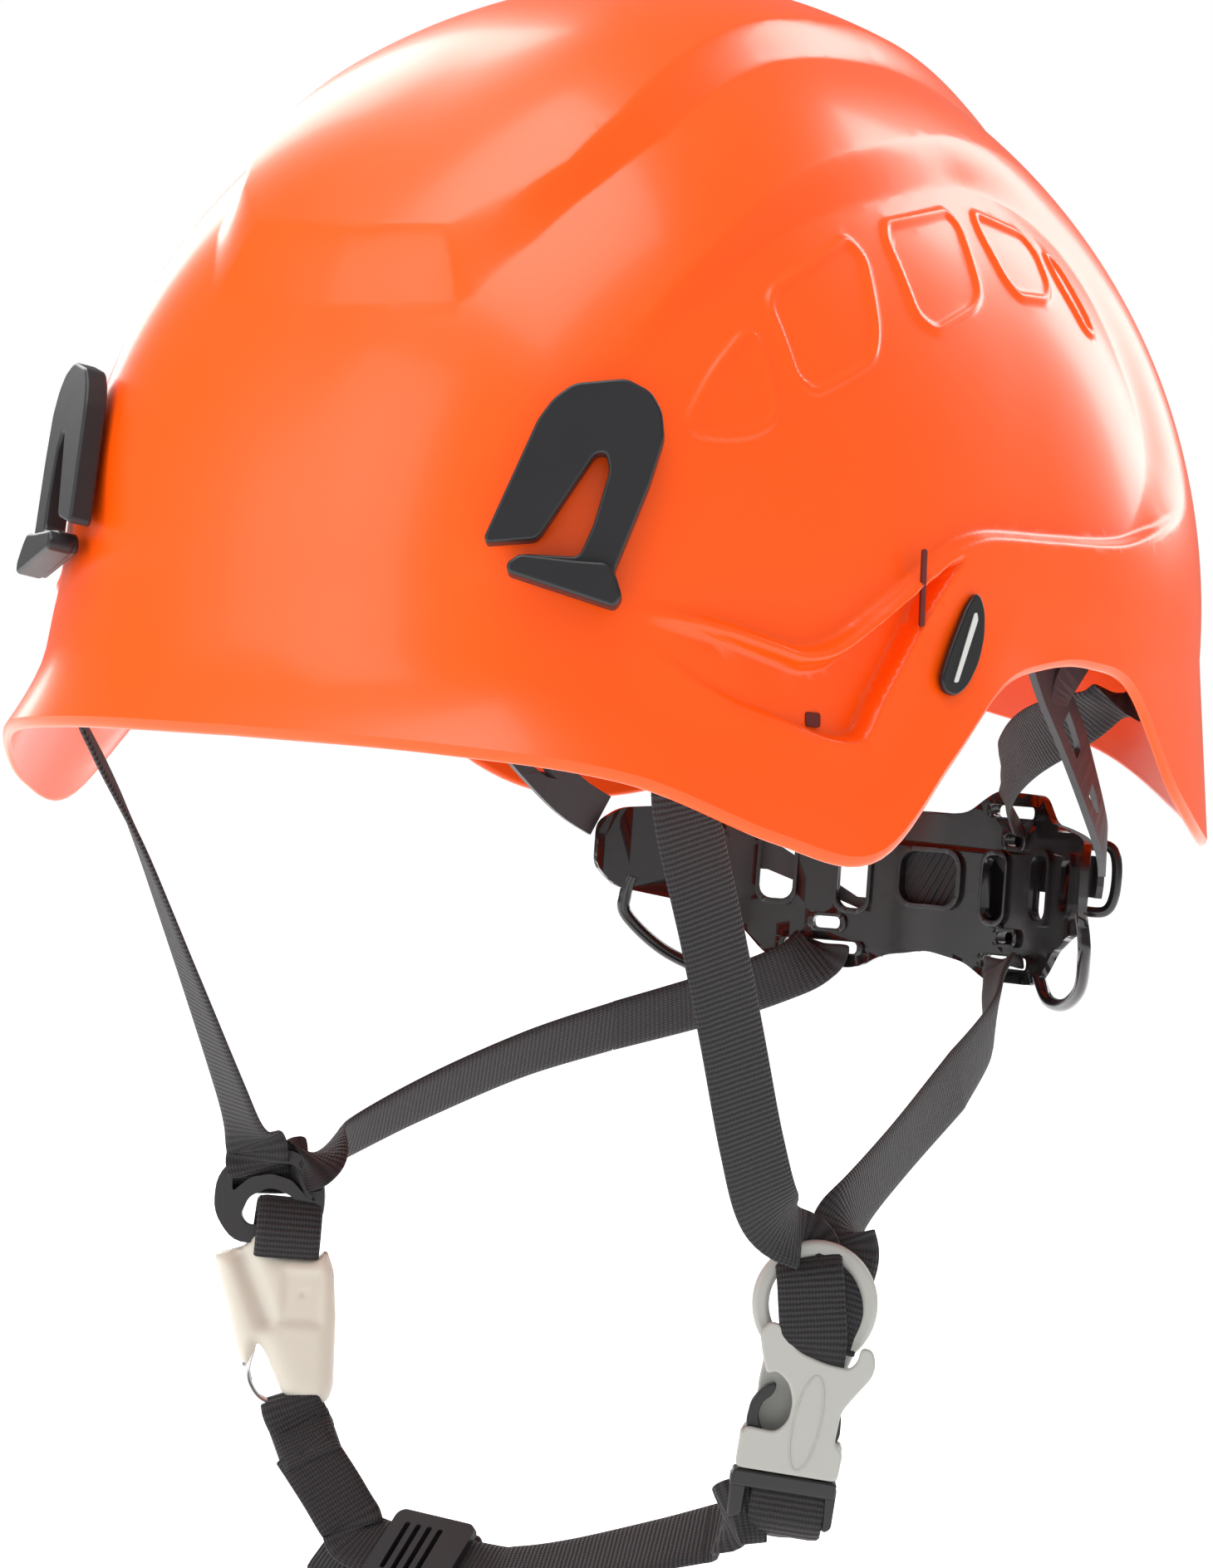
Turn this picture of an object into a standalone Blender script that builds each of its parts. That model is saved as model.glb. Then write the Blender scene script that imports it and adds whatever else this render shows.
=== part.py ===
"""A climbing helmet: a hard shell on a textile suspension, a size-wheel cradle and a Y-shaped chin harness.

+Z is up, the front faces -Y and the wearer's left is +X. The origin is the middle of the headband's plane.
Lengths in the constants and in the outlines are millimetres, and every mesh is built in metres.
"""

import math

import bmesh
import bpy
import numpy as np
from mathutils import Euler, Matrix, Vector

MM = 0.001

# The shell: half width, front and rear half length and height of the dome above the headband's plane.
HALF_WIDTH = 111.0
FRONT_LENGTH = 143.0
REAR_LENGTH = 141.0
DOME_HEIGHT = 145.0
FRONT_SQUARENESS = 2.8
REAR_SQUARENESS = 2.4
DOME_POWER = 2.08
DOME_ROUNDNESS = 1.85
WALL_SPREAD = 0.09
WALL_THICKNESS = 2.6
BRIM_FLARE = 6.0
BRIM_HEIGHT = 18.0
DECK_HEIGHT = 2.4
DECK_HALF_WIDTH = 44.0
PANEL_DEPTH = 2.6
SHELL_AROUND = 96
SHELL_UP = 15

# Height of the rim, from the front round to the rear: angle in degrees, height.
RIM = (
    (0, -31.5), (20, -32.5), (35, -36), (48, -46), (58, -48.5), (68, -28), (78, -10.5), (88, -4.5),
    (98, -3.5), (108, -8), (120, -31), (135, -42), (150, -34.5), (165, -20.5), (180, -12.5),
)
# The side panel's lower edge: distance along Y, height.
PANEL_FOOT = ((-120, -1), (-103, -4), (-85, -8.5), (-75, -6), (-61, 3.5), (-38, 17), (-20, 21), (30, 23), (60, 30))
# The side panel's arch: distance along Y, height.
PANEL_ARCH = ((-126, 30), (-113, 51), (-97, 69), (-74, 87), (-45, 98), (-8, 106), (20, 107), (42, 100), (62, 80))
PANEL_REAR = 66.0

GAP = 0.3
WEBBING_WIDTH = 15.0
WEBBING_THICKNESS = 1.6

# The cradle and its racks lie on one circle, seen from above.
CRADLE_CENTRE_Y = 43.0
CRADLE_RADIUS = 80.0
CRADLE_THICKNESS = 2.0
RACK_RADIUS = 84.0
RACK_THICKNESS = 1.6
WHEEL_HEIGHT = -57.0
WHEEL_RADIUS = 16.0
PINION_RADIUS = 4.2
PINION_TEETH = 12
YOKE_PIVOT = (96.0, 29.0, 14.0)

# The chin harness: the two junctions, and the turn that their plates have about Z.
RING_CENTRE = (79.0, -30.0, -150.5)
RING_TURN = 36.0
BUCKLE_LEAN = 5.0
DIVIDER_CENTRE = (-79.0, -30.0, -142.0)
# The straight stretch of the lower strap that its slider can run along.
SLIDER_ENDS = ((-40.0, -32.0, -219.4), (-8.0, -32.0, -221.2))


# ---------------------------------------------------------------------------------------------- tools


def clear_scene():
    for obj in list(bpy.data.objects):
        bpy.data.objects.remove(obj, do_unlink=True)


def new_collection(name, cutters=False):
    collection = bpy.data.collections.new(name)
    bpy.context.scene.collection.children.link(collection)
    collection.hide_render = cutters
    return collection


def new_material(name, colour, roughness, metallic=0.0):
    material = bpy.data.materials.new(name)
    material.use_nodes = True
    shader = material.node_tree.nodes["Principled BSDF"]
    shader.inputs["Base Color"].default_value = (*colour, 1.0)
    shader.inputs["Roughness"].default_value = roughness
    shader.inputs["Metallic"].default_value = metallic
    return material


def through(knots, x):
    """A smooth curve through the knots: a cubic between each two, with the neighbours' slope at each."""
    if x <= knots[0][0]:
        return knots[0][1]
    if x >= knots[-1][0]:
        return knots[-1][1]
    last = len(knots) - 1
    i = next(n for n in range(last) if knots[n + 1][0] >= x)

    def slope(n):
        low, high = max(n - 1, 0), min(n + 1, last)
        return (knots[high][1] - knots[low][1]) / (knots[high][0] - knots[low][0])

    (x0, y0), (x1, y1) = knots[i], knots[i + 1]
    span = x1 - x0
    t = (x - x0) / span
    start = y0 * (1 + 2 * t) * (1 - t) ** 2 + slope(i) * span * t * (1 - t) ** 2
    return start + y1 * t * t * (3 - 2 * t) + slope(i + 1) * span * t * t * (t - 1)


def ease(low, high, x):
    t = min(max((x - low) / (high - low), 0.0), 1.0)
    return t * t * (3 - 2 * t)


def sampled(points, steps):
    """Points of a smooth curve through the given ones, with this many steps between each two."""
    points = [Vector(p) for p in points]
    found = []
    for i in range(len(points) - 1):
        before = points[max(i - 1, 0)]
        start, end = points[i], points[i + 1]
        after = points[min(i + 2, len(points) - 1)]
        for n in range(steps):
            t = n / steps
            found.append(
                0.5 * (2 * start + (end - before) * t
                       + (2 * before - 5 * start + 4 * end - after) * t * t
                       + (3 * start - before - 3 * end + after) * t ** 3)
            )
    return found + [points[-1]]


def mesh_object(name, bm, collection, material=None):
    if bm.calc_volume(signed=True) < 0:
        bmesh.ops.reverse_faces(bm, faces=bm.faces)
    mesh = bpy.data.meshes.new(name)
    bm.to_mesh(mesh)
    bm.free()
    obj = bpy.data.objects.new(name, mesh)
    collection.objects.link(obj)
    if material:
        mesh.materials.append(material)
    return obj


def finish(obj, angle=35):
    obj.data.shade_smooth()
    obj.data.set_sharp_from_angle(angle=math.radians(angle))
    return obj


def outline_mesh(name, rings, depth):
    """A flat outline with its holes, in the local XZ plane, given thickness along Y: a mesh of one body."""
    curve = bpy.data.curves.new(name, "CURVE")
    curve.dimensions = "2D"
    curve.fill_mode = "BOTH"
    curve.extrude = depth * MM / 2
    for ring in rings:
        spline = curve.splines.new("POLY")
        spline.points.add(len(ring) - 1)
        for point, (x, z) in zip(spline.points, ring):
            point.co = (x * MM, z * MM, 0, 1)
        spline.use_cyclic_u = True
    holder = bpy.data.objects.new(name, curve)
    bpy.context.scene.collection.objects.link(holder)
    graph = bpy.context.evaluated_depsgraph_get()
    mesh = bpy.data.meshes.new_from_object(holder.evaluated_get(graph))
    bpy.data.objects.remove(holder, do_unlink=True)
    bm = bmesh.new()
    bm.from_mesh(mesh)
    bpy.data.meshes.remove(mesh)
    bmesh.ops.remove_doubles(bm, verts=bm.verts, dist=1e-6)
    bmesh.ops.rotate(bm, verts=bm.verts, matrix=Matrix.Rotation(math.radians(90), 3, "X"))
    bmesh.ops.recalc_face_normals(bm, faces=bm.faces)
    return bm


def rounded_box_ring(x0, x1, z0, z1, radius, steps=3):
    ring = []
    corners = ((x1 - radius, z1 - radius, 0), (x0 + radius, z1 - radius, 90),
               (x0 + radius, z0 + radius, 180), (x1 - radius, z0 + radius, 270))
    for cx, cz, start in corners:
        for n in range(steps + 1):
            a = math.radians(start + 90 * n / steps)
            ring.append((cx + radius * math.cos(a), cz + radius * math.sin(a)))
    return ring


def circle_ring(cx, cz, radius, steps=24):
    return [(cx + radius * math.cos(2 * math.pi * n / steps), cz + radius * math.sin(2 * math.pi * n / steps))
            for n in range(steps)]


def add_box(bm, low, high):
    made = bmesh.ops.create_cube(bm, size=1.0)["verts"]
    size = Vector(high) - Vector(low)
    middle = (Vector(high) + Vector(low)) / 2
    bmesh.ops.scale(bm, vec=size * MM, verts=made)
    bmesh.ops.translate(bm, vec=middle * MM, verts=made)
    return made


def box_mesh(low, high):
    bm = bmesh.new()
    add_box(bm, low, high)
    return bm


def rod_mesh(start, end, radius, sides=16):
    bm = bmesh.new()
    start, end = Vector(start) * MM, Vector(end) * MM
    made = bmesh.ops.create_cone(
        bm, cap_ends=True, segments=sides, radius1=radius * MM, radius2=radius * MM, depth=(end - start).length
    )["verts"]
    turn = (end - start).to_track_quat("Z", "Y").to_matrix()
    bmesh.ops.rotate(bm, verts=made, matrix=turn)
    bmesh.ops.translate(bm, vec=(start + end) / 2, verts=made)
    return bm


def wire_object(name, points, radius, collection, material, cyclic=False, resolution=1):
    """A round wire along a smooth route, as a mesh with welded caps."""
    curve = bpy.data.curves.new(name, "CURVE")
    curve.dimensions = "3D"
    curve.bevel_depth = radius * MM
    curve.bevel_resolution = resolution
    curve.use_fill_caps = not cyclic
    spline = curve.splines.new("POLY")
    spline.points.add(len(points) - 1)
    for point, place in zip(spline.points, points):
        point.co = (*(Vector(place) * MM), 1)
    spline.use_cyclic_u = cyclic
    holder = bpy.data.objects.new(name, curve)
    bpy.context.scene.collection.objects.link(holder)
    graph = bpy.context.evaluated_depsgraph_get()
    mesh = bpy.data.meshes.new_from_object(holder.evaluated_get(graph))
    bpy.data.objects.remove(holder, do_unlink=True)
    bm = bmesh.new()
    bm.from_mesh(mesh)
    bpy.data.meshes.remove(mesh)
    bmesh.ops.remove_doubles(bm, verts=bm.verts, dist=1e-6)
    bmesh.ops.recalc_face_normals(bm, faces=bm.faces)
    return mesh_object(name, bm, collection, material)


def ribbon_mesh(route, facings, width, thickness, steps=4):
    """A flat strap along a smooth route: facings are the ways its flat side looks at the route's points."""
    middle = sampled(route, steps)
    looks = sampled(facings, steps)
    bm = bmesh.new()
    before = None
    first = None
    for i, point in enumerate(middle):
        along = (middle[min(i + 1, len(middle) - 1)] - middle[max(i - 1, 0)]).normalized()
        out = (looks[i] - along * looks[i].dot(along)).normalized()
        side = along.cross(out) * width / 2
        out = out * thickness / 2
        ring = [bm.verts.new((point + a) * MM) for a in (side + out, out - side, -side - out, side - out)]
        if before:
            for n in range(4):
                bm.faces.new((before[n], before[(n + 1) % 4], ring[(n + 1) % 4], ring[n]))
        first = first or ring
        before = ring
    bm.faces.new(first[::-1])
    bm.faces.new(before)
    bmesh.ops.recalc_face_normals(bm, faces=bm.faces)
    return bm


def mirrored(obj, name, collection):
    """The same piece on the wearer's other side."""
    bm = bmesh.new()
    bm.from_mesh(obj.data)
    bmesh.ops.transform(bm, matrix=obj.matrix_world, verts=bm.verts)
    bmesh.ops.scale(bm, vec=(-1, 1, 1), verts=bm.verts)
    bmesh.ops.reverse_faces(bm, faces=bm.faces)
    twin = mesh_object(name, bm, collection, obj.data.materials[0])
    return finish(twin)


def boolean(obj, other, operation):
    modifier = obj.modifiers.new(operation.title(), "BOOLEAN")
    modifier.operation = operation
    modifier.object = other
    graph = bpy.context.evaluated_depsgraph_get()
    mesh = bpy.data.meshes.new_from_object(obj.evaluated_get(graph))
    obj.modifiers.remove(modifier)
    old = obj.data
    obj.data = mesh
    bpy.data.meshes.remove(old)
    bpy.data.objects.remove(other, do_unlink=True)


def cut(obj, bm, cutters):
    boolean(obj, mesh_object(obj.name + "_cutter", bm, cutters), "DIFFERENCE")


def join(obj, bm, cutters):
    boolean(obj, mesh_object(obj.name + "_addition", bm, cutters), "UNION")


# ------------------------------------------------------------------------------------------ the shell


def rim_height(theta):
    return through(RIM, abs(((theta + 180) % 360) - 180))


def plan_radius(theta):
    x, y = math.sin(math.radians(theta)), -math.cos(math.radians(theta))
    length, power = (FRONT_LENGTH, FRONT_SQUARENESS) if y < 0 else (REAR_LENGTH, REAR_SQUARENESS)
    return ((abs(x) / HALF_WIDTH) ** power + (abs(y) / length) ** power) ** (-1 / power)


def base_point(theta, z):
    """A point of the smooth outer surface, before its raised and recessed areas."""
    if z > 0:
        scale = max(1 - (z / DOME_HEIGHT) ** DOME_POWER, 0.0) ** (1 / DOME_ROUNDNESS)
    else:
        scale = 1 - WALL_SPREAD * z / 100
    folded = abs(((theta + 180) % 360) - 180)
    brim = min(max((rim_height(theta) + BRIM_HEIGHT - z) / BRIM_HEIGHT, 0), 1.2) ** 1.5
    radius = plan_radius(theta) * scale + BRIM_FLARE * (1 - ease(58, 88, folded)) * brim
    return Vector((radius * math.sin(math.radians(theta)), -radius * math.cos(math.radians(theta)), z))


def relief(point):
    """How far the outer surface stands out from the smooth one: the raised deck and the sunk side panels."""
    x, y, z = abs(point.x), point.y, point.z
    front = (z - 71) / 0.8
    rear = (z - 50) / 0.8 if y > 0 else front
    side = DECK_HALF_WIDTH - x
    edge = min(side, rear) - 3 * math.exp(-abs(side - rear) / 9)
    deck = DECK_HEIGHT * ease(-5, 4, edge) if z > 30 else 0.0
    inside = min(through(PANEL_ARCH, y) - z, z - through(PANEL_FOOT, y), PANEL_REAR - y)
    fade = ease(-124, -84, y)
    panel = PANEL_DEPTH * fade * ease(0, 9, inside) if x > 40 else 0.0
    return deck - panel


def shell_point(theta, z, out=0.0):
    """A point of the outer surface, or of one that lies further out by some distance, in millimetres."""
    step = 0.5
    point = base_point(theta, z)
    upward = base_point(theta, min(z + step, DOME_HEIGHT - 0.01)) - base_point(theta, z - step)
    around = base_point(theta + step, z) - base_point(theta - step, z)
    normal = around.cross(upward).normalized() if around.length > 1e-3 else Vector((0, 0, 1))
    return point + normal * (relief(point) + out), normal


def make_shell(parts, material):
    bm = bmesh.new()
    bmesh.ops.create_grid(bm, x_segments=SHELL_AROUND, y_segments=SHELL_UP, size=0.5)
    for vert in bm.verts:
        theta = (vert.co.x + 0.5) * 360
        rise = math.sin((vert.co.y + 0.5) * math.pi / 2)
        low = rim_height(theta)
        z = low + (DOME_HEIGHT - low) * rise
        vert.co = Vector((0, 0, DOME_HEIGHT + DECK_HEIGHT)) * MM if rise > 0.9999 else shell_point(theta, z)[0] * MM
    bmesh.ops.remove_doubles(bm, verts=bm.verts, dist=1e-6)
    bmesh.ops.recalc_face_normals(bm, faces=bm.faces)
    shell = mesh_object("outer_shell", bm, parts, material)
    thickness = shell.modifiers.new("Wall", "SOLIDIFY")
    thickness.thickness = WALL_THICKNESS * MM
    thickness.offset = -1
    return finish(shell, 40)


CLIP_OUTLINE = (
    (9.5, 24), (15, 21.5), (17.6, 17.5), (18.5, 11.8), (16, 1), (10, -18), (12.1, -23), (10.7, -25.4),
    (-12, -19.6), (-12.2, -17.8), (-9.7, -15.2), (2.5, -15), (5, -8), (7.5, 4), (6.4, 7.6), (4.2, 7.2), (-6.5, -12),
    (-17.2, -13.6), (-17.8, -12.2), (-8.5, 14), (-5.5, 18.8), (-1.5, 22.2),
)
CLIP_THICKNESS = 5.0
CLIP_ANGLE = 29.5
CLIP_HEIGHT = 23.0


def make_clip(name, theta, height, side, parts, material):
    """A hooked plate that stands on the shell, so that a lamp's elastic slips up behind its free leg."""
    ring = [(side * x, z) for x, z in CLIP_OUTLINE]
    bm = outline_mesh(name, [ring[::side]], CLIP_THICKNESS)
    clip = mesh_object(name, bm, parts, material)
    place, normal = shell_point(theta, height, CLIP_THICKNESS / 2 + GAP + 0.5)
    clip.rotation_euler = (normal * -1).to_track_quat("Y", "Z").to_euler()
    clip.location = place * MM
    edge = clip.modifiers.new("Edge", "BEVEL")
    edge.width = 0.8 * MM
    edge.segments = 1
    edge.limit_method = "ANGLE"
    edge.angle_limit = math.radians(50)
    return finish(clip)


BADGE_OUTLINE = ((5.2, 11.5), (7.4, 7.5), (7.2, 1.5), (5, -4.5), (1, -9.8), (-3.4, -12.3), (-7.2, -11.4), (-8.2, -8.4),
                 (-4.6, -1.4), (1.4, 8.2))


def make_badge(name, side, parts, material):
    bm = outline_mesh(name, [BADGE_OUTLINE], 1.4)
    badge = mesh_object(name, bm, parts, material)
    place, normal = shell_point(70.5, -2, 0.7 + GAP + 1.5)
    badge.rotation_euler = (normal * -1).to_track_quat("Y", "Z").to_euler()
    badge.location = place * MM
    if side > 0:
        return finish(badge)
    bpy.context.view_layer.update()
    twin = mirrored(badge, name, parts)
    bpy.data.objects.remove(badge, do_unlink=True)
    twin.name = name
    return twin


# ----------------------------------------------------------------------------------- inner suspension


def bent_strip(name, rings, radius_x, radius_y, centre_y, thickness, parts, material, from_front=True, slices=10):
    """A flat outline, s along and z up, with its holes, bent round an upright ellipse by its arc angle."""
    bm = outline_mesh(name, rings, thickness)
    low = min(v.co.x for v in bm.verts)
    high = max(v.co.x for v in bm.verts)
    mean = (radius_x + radius_y) / 2
    step = math.radians(slices) * mean * MM
    for n in range(math.ceil(low / step), math.floor(high / step) + 1):
        geometry = bm.verts[:] + bm.edges[:] + bm.faces[:]
        bmesh.ops.bisect_plane(bm, geom=geometry, plane_co=(n * step, 0, 0), plane_no=(1, 0, 0), dist=1e-7)
    sign = -1 if from_front else 1
    for vert in bm.verts:
        angle = vert.co.x / MM / mean
        out = vert.co.y / MM
        out = -out if from_front else out
        across = math.sin(angle) * (radius_x + (out if not from_front else out))
        depth = math.cos(angle) * (radius_y + out)
        vert.co = Vector((across * MM, (centre_y + sign * depth) * MM, vert.co.z))
    bmesh.ops.recalc_face_normals(bm, faces=bm.faces)
    return finish(mesh_object(name, bm, parts, material), 30)


def make_headband(parts, plastic, foam):
    ring = rounded_box_ring(-168, 168, -10, 14, 6)
    holes = [rounded_box_ring(x - 9, x + 9, 3, 7, 2, 2) for x in (-140, -105, 105, 140)]
    bent_strip("front_headband", [ring] + holes, 84, 112, 0, 1.8, parts, plastic)
    pad = rounded_box_ring(-100, 100, -9, 13, 8)
    bent_strip("brow_pad", [pad], 80, 108, 0, 4.4, parts, foam)


def make_anchor(name, theta, parts, material):
    """A block on the shell's inner wall that a crown strap's end is held in."""
    bm = box_mesh((-12, -2.5, -8), (12, 2.5, 8))
    block = mesh_object(name, bm, parts, material)
    place, normal = shell_point(theta, 24, -WALL_THICKNESS - 6.2)
    level = Vector((normal.x, normal.y, 0.28)).normalized()
    block.rotation_euler = (level * -1).to_track_quat("Y", "Z").to_euler()
    block.location = place * MM
    edge = block.modifiers.new("Edge", "BEVEL")
    edge.width = 1.5 * MM
    edge.segments = 1
    return finish(block)


def make_crown(parts, fabric, foam):
    """Two webbing straps that cross under the crown, one above the other, and the pad below them."""
    for name, side, lift in (("crown_strap_left", 1, 0.0), ("crown_strap_right", -1, 3.6)):
        route, looks = [], []
        for turn, height in ((48, 40), (48, 66), (48, 86), (0, 97 + lift), (-132, 86), (-132, 66), (-132, 40)):
            reach = {40: 80, 66: 68, 86: 42}.get(height, 0)
            place = Vector((side * reach * math.sin(math.radians(turn)), -reach * math.cos(math.radians(turn)), 0))
            route.append(place + Vector((0, 0, height + (lift if height > 80 and reach else 0))))
            looks.append((route[-1] - Vector((0, 0, 10))).normalized())
        bm = ribbon_mesh(route, looks, 20, 1.4, 3)
        finish(mesh_object(name, bm, parts, fabric))
    bm = bmesh.new()
    bmesh.ops.create_cone(bm, cap_ends=True, segments=24, radius1=24 * MM, radius2=27 * MM, depth=6 * MM)
    pad = mesh_object("crown_pad", bm, parts, foam)
    pad.location = Vector((0, 0, 86.5)) * MM
    finish(pad)


def make_yoke(parts, cutters, material, pin_material):
    """The strip that hangs the cradle's end from the shell: two arms above, one slotted strip below."""
    route = ((94, 10, 15), (91, 20, 3), (88, 33, -8), (86.5, 46, -19), (83.5, 60, -31), (79, 75, -42.5), (74.6, 83.5, -47.5))
    looks = ((1, -.1, .3), (1, 0, .2), (1, 0.05, .1), (1, .1, 0), (.95, .3, 0), (.85, .5, 0), (.82, .57, 0))
    yoke = mesh_object("yoke_left", ribbon_mesh(route, looks, 11, 1.8, 4), parts, material)
    arm = ((94, 48, 15), (91.2, 44, 3), (88.2, 39, -8), (87.3, 38, -13))
    join(yoke, ribbon_mesh(arm, looks[:4], 9, 2.2, 4), cutters)
    for start, end, width in (((87.2, 42, -16), (85.4, 51, -24), 4.5), ((83.2, 61, -32), (79.6, 73, -41), 4)):
        slot = rod_mesh(start, end, width / 2, 8)
        bmesh.ops.scale(slot, vec=(4, 1, 1), verts=slot.verts, space=Matrix.Translation(-Vector(start) * MM))
        cut(yoke, slot, cutters)
    finish(yoke)
    mirrored(yoke, "yoke_right", parts)
    for name, y in (("yoke_rivet_front_left", 10), ("yoke_rivet_rear_left", 48)):
        rivet = mesh_object(name, rod_mesh((96.6, y, 12), (101.5, y, 12), 3, 14), parts, pin_material)
        finish(rivet)
        mirrored(rivet, name.replace("left", "right"), parts)


# ------------------------------------------------------------------------------------ the rear cradle


def on_cradle(s, radius, z):
    """A point by its arc length from the rear centre on the cradle's own circle, its radius and its height."""
    angle = s / CRADLE_RADIUS
    return Vector((radius * math.sin(angle), CRADLE_CENTRE_Y + radius * math.cos(angle), z))


def make_cradle(parts, cutters, material, fabric):
    half = [(0, -41), (10, -40), (16, -36), (20, -34), (38, -34.5), (44, -41), (62, -43), (82, -45), (88, -49), (88, -60),
            (82, -65), (60, -68), (50, -72), (43, -79), (38, -81), (20, -81), (12, -77), (0, -75)]
    ring = half + [(-s, z) for s, z in half[-2:0:-1]]
    holes = [rounded_box_ring(-8.5, 8.5, -63.5, -50.5, 4)]
    for side in (1, -1):
        for low, high, bottom, top, radius in ((19, 37, -40.5, -37.5, 1.2), (19, 38, -77.5, -74.5, 1.2),
                                               (25, 32, -47.5, -44.5, 1.2), (24, 31, -71.5, -68.5, 1.2),
                                               (17.5, 25.5, -66, -50, 3), (37, 45.5, -65, -49, 3), (55, 63, -62, -49, 3)):
            ends = sorted((side * low, side * high))
            holes.append(rounded_box_ring(ends[0], ends[1], bottom, top, radius, 2))
    middle = CRADLE_RADIUS + CRADLE_THICKNESS / 2
    # Arc lengths are stated on the cradle's inner circle, so the flat outline is drawn a little longer.
    stretch = middle / CRADLE_RADIUS
    rings = [[(s * stretch, z) for s, z in r] for r in [ring] + holes]
    cradle = bent_strip("rear_cradle", rings, middle, middle, CRADLE_CENTRE_Y, CRADLE_THICKNESS, parts, material, False)
    for side in (1, -1):
        hoop = [on_cradle(side * s, r, z) for s, r, z in ((79, 81, -64), (78, 82, -72), (68, 82.5, -80), (56, 82, -84.5),
                                                          (46, 81.5, -84), (41, 81, -79.5))]
        add = wire_object("hoop", sampled(hoop, 3), 1.7, cutters, material)
        boolean(cradle, add, "UNION")
        guard = [on_cradle(side * s, r, z) for s, r, z in ((71, 81.3, -45.6), (72, 86.5, -45.4), (72.5, 88.6, -49),
                                                           (72.5, 88.6, -57), (72, 86.5, -61), (71, 81.3, -61.2))]
        add = wire_object("guard", sampled(guard, 3), 1.3, cutters, material)
        boolean(cradle, add, "UNION")
    finish(cradle, 30)
    insert = [rounded_box_ring(-10, 10, -65, -49, 4)]
    bent_strip("window_insert", insert, 82.9, 82.9, CRADLE_CENTRE_Y, 0.9, parts, fabric, False)


def make_racks(parts, material):
    """Two toothed strips, one over and one under the pinion, that come out of the wheel's housing."""
    pitch = 2 * math.pi * PINION_RADIUS / PINION_TEETH
    for name, side in (("rack_left", 1), ("rack_right", -1)):
        base = WHEEL_HEIGHT + side * (PINION_RADIUS + 2.0)
        back = base + side * 3.2
        teeth = [(-14, base)]
        for n in range(-6, 5):
            for offset, reach in ((-0.30, 0), (-0.14, 1.3), (0.14, 1.3), (0.30, 0)):
                teeth.append((pitch * (n + 0.5 + offset), base - side * reach))
        if side > 0:
            low = teeth + [(16, base), (24, -58), (73, -58), (76, -55)]
            high = [(-14, back), (16, back), (24, -48), (73, -48), (76, -51)]
        else:
            low = [(-14, back), (20, back), (44, -58), (73, -58), (76, -55)]
            high = teeth + [(16, base), (22, base), (48, -48), (73, -48), (76, -51)]
        stops = sorted({round(s, 3) for s, _ in low + high} | {float(s) for s in range(27, 73, 5)})
        bm = bmesh.new()
        columns = []
        for s in stops:
            angle = side * s / CRADLE_RADIUS
            bottom = float(np.interp(s, [p[0] for p in low], [p[1] for p in low]))
            top = float(np.interp(s, [p[0] for p in high], [p[1] for p in high]))
            corners = ((RACK_RADIUS, bottom), (RACK_RADIUS, top), (RACK_RADIUS + RACK_THICKNESS, top),
                       (RACK_RADIUS + RACK_THICKNESS, bottom))
            columns.append([
                bm.verts.new(Vector((r * math.sin(angle), CRADLE_CENTRE_Y + r * math.cos(angle), z)) * MM)
                for r, z in corners
            ])
        for one, two in zip(columns, columns[1:]):
            for n in range(4):
                bm.faces.new((one[n], one[(n + 1) % 4], two[(n + 1) % 4], two[n]))
        bm.faces.new(columns[0])
        bm.faces.new(columns[-1])
        bmesh.ops.recalc_face_normals(bm, faces=bm.faces)
        finish(mesh_object(name, bm, parts, material), 30)


def make_wheel(parts, cutters, plastic, dark):
    """The housing on the cradle's outer side, the size wheel behind it and the pinion that it turns."""
    rear = CRADLE_CENTRE_Y
    housing = mesh_object("wheel_housing", box_mesh((-25, rear + 82.6, -73.5), (25, rear + 90, -40.5)), parts, plastic)
    cut(housing, box_mesh((-30, rear + 78, -71), (30, rear + 88, -43)), cutters)
    cut(housing, rod_mesh((0, rear + 85, WHEEL_HEIGHT), (0, rear + 95, WHEEL_HEIGHT), 2.6, 20), cutters)
    edge = housing.modifiers.new("Edge", "BEVEL")
    edge.width = 0.6 * MM
    edge.segments = 1
    edge.limit_method = "ANGLE"
    edge.angle_limit = math.radians(60)
    finish(housing)
    count = 18
    ring = []
    for n in range(count * 4):
        angle = 2 * math.pi * n / (count * 4)
        radius = WHEEL_RADIUS - (0.9 if n % 4 in (2, 3) else 0)
        ring.append((radius * math.cos(angle), radius * math.sin(angle)))
    wheel = mesh_object("size_wheel", outline_mesh("size_wheel", [ring], 7.5), parts, dark)
    join(wheel, rod_mesh((0, -10.4, 0), (0, -2, 0), 2.0, 16), cutters)
    wheel.location = Vector((0, rear + 94.2, WHEEL_HEIGHT)) * MM
    finish(wheel)
    ring = []
    for n in range(PINION_TEETH):
        for offset, radius in ((-0.30, -0.7), (-0.14, 1.0), (0.14, 1.0), (0.30, -0.7)):
            angle = 2 * math.pi * (n + offset) / PINION_TEETH
            ring.append(((PINION_RADIUS + radius) * math.cos(angle), (PINION_RADIUS + radius) * math.sin(angle)))
    bm = outline_mesh("pinion", [ring, circle_ring(0, 0, 2.3, 16)], 2.6)
    pinion = mesh_object("pinion", bm, parts, plastic)
    pinion.location = Vector((0, rear + 85.3, WHEEL_HEIGHT)) * MM
    finish(pinion)


# --------------------------------------------------------------------------------- the chin harness


def facing(azimuth, tilt=0.0):
    """The direction that a flat side looks in, by its azimuth from the front and its rise."""
    a = math.radians(azimuth)
    return Vector((math.sin(a), -math.cos(a), tilt)).normalized()


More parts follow.
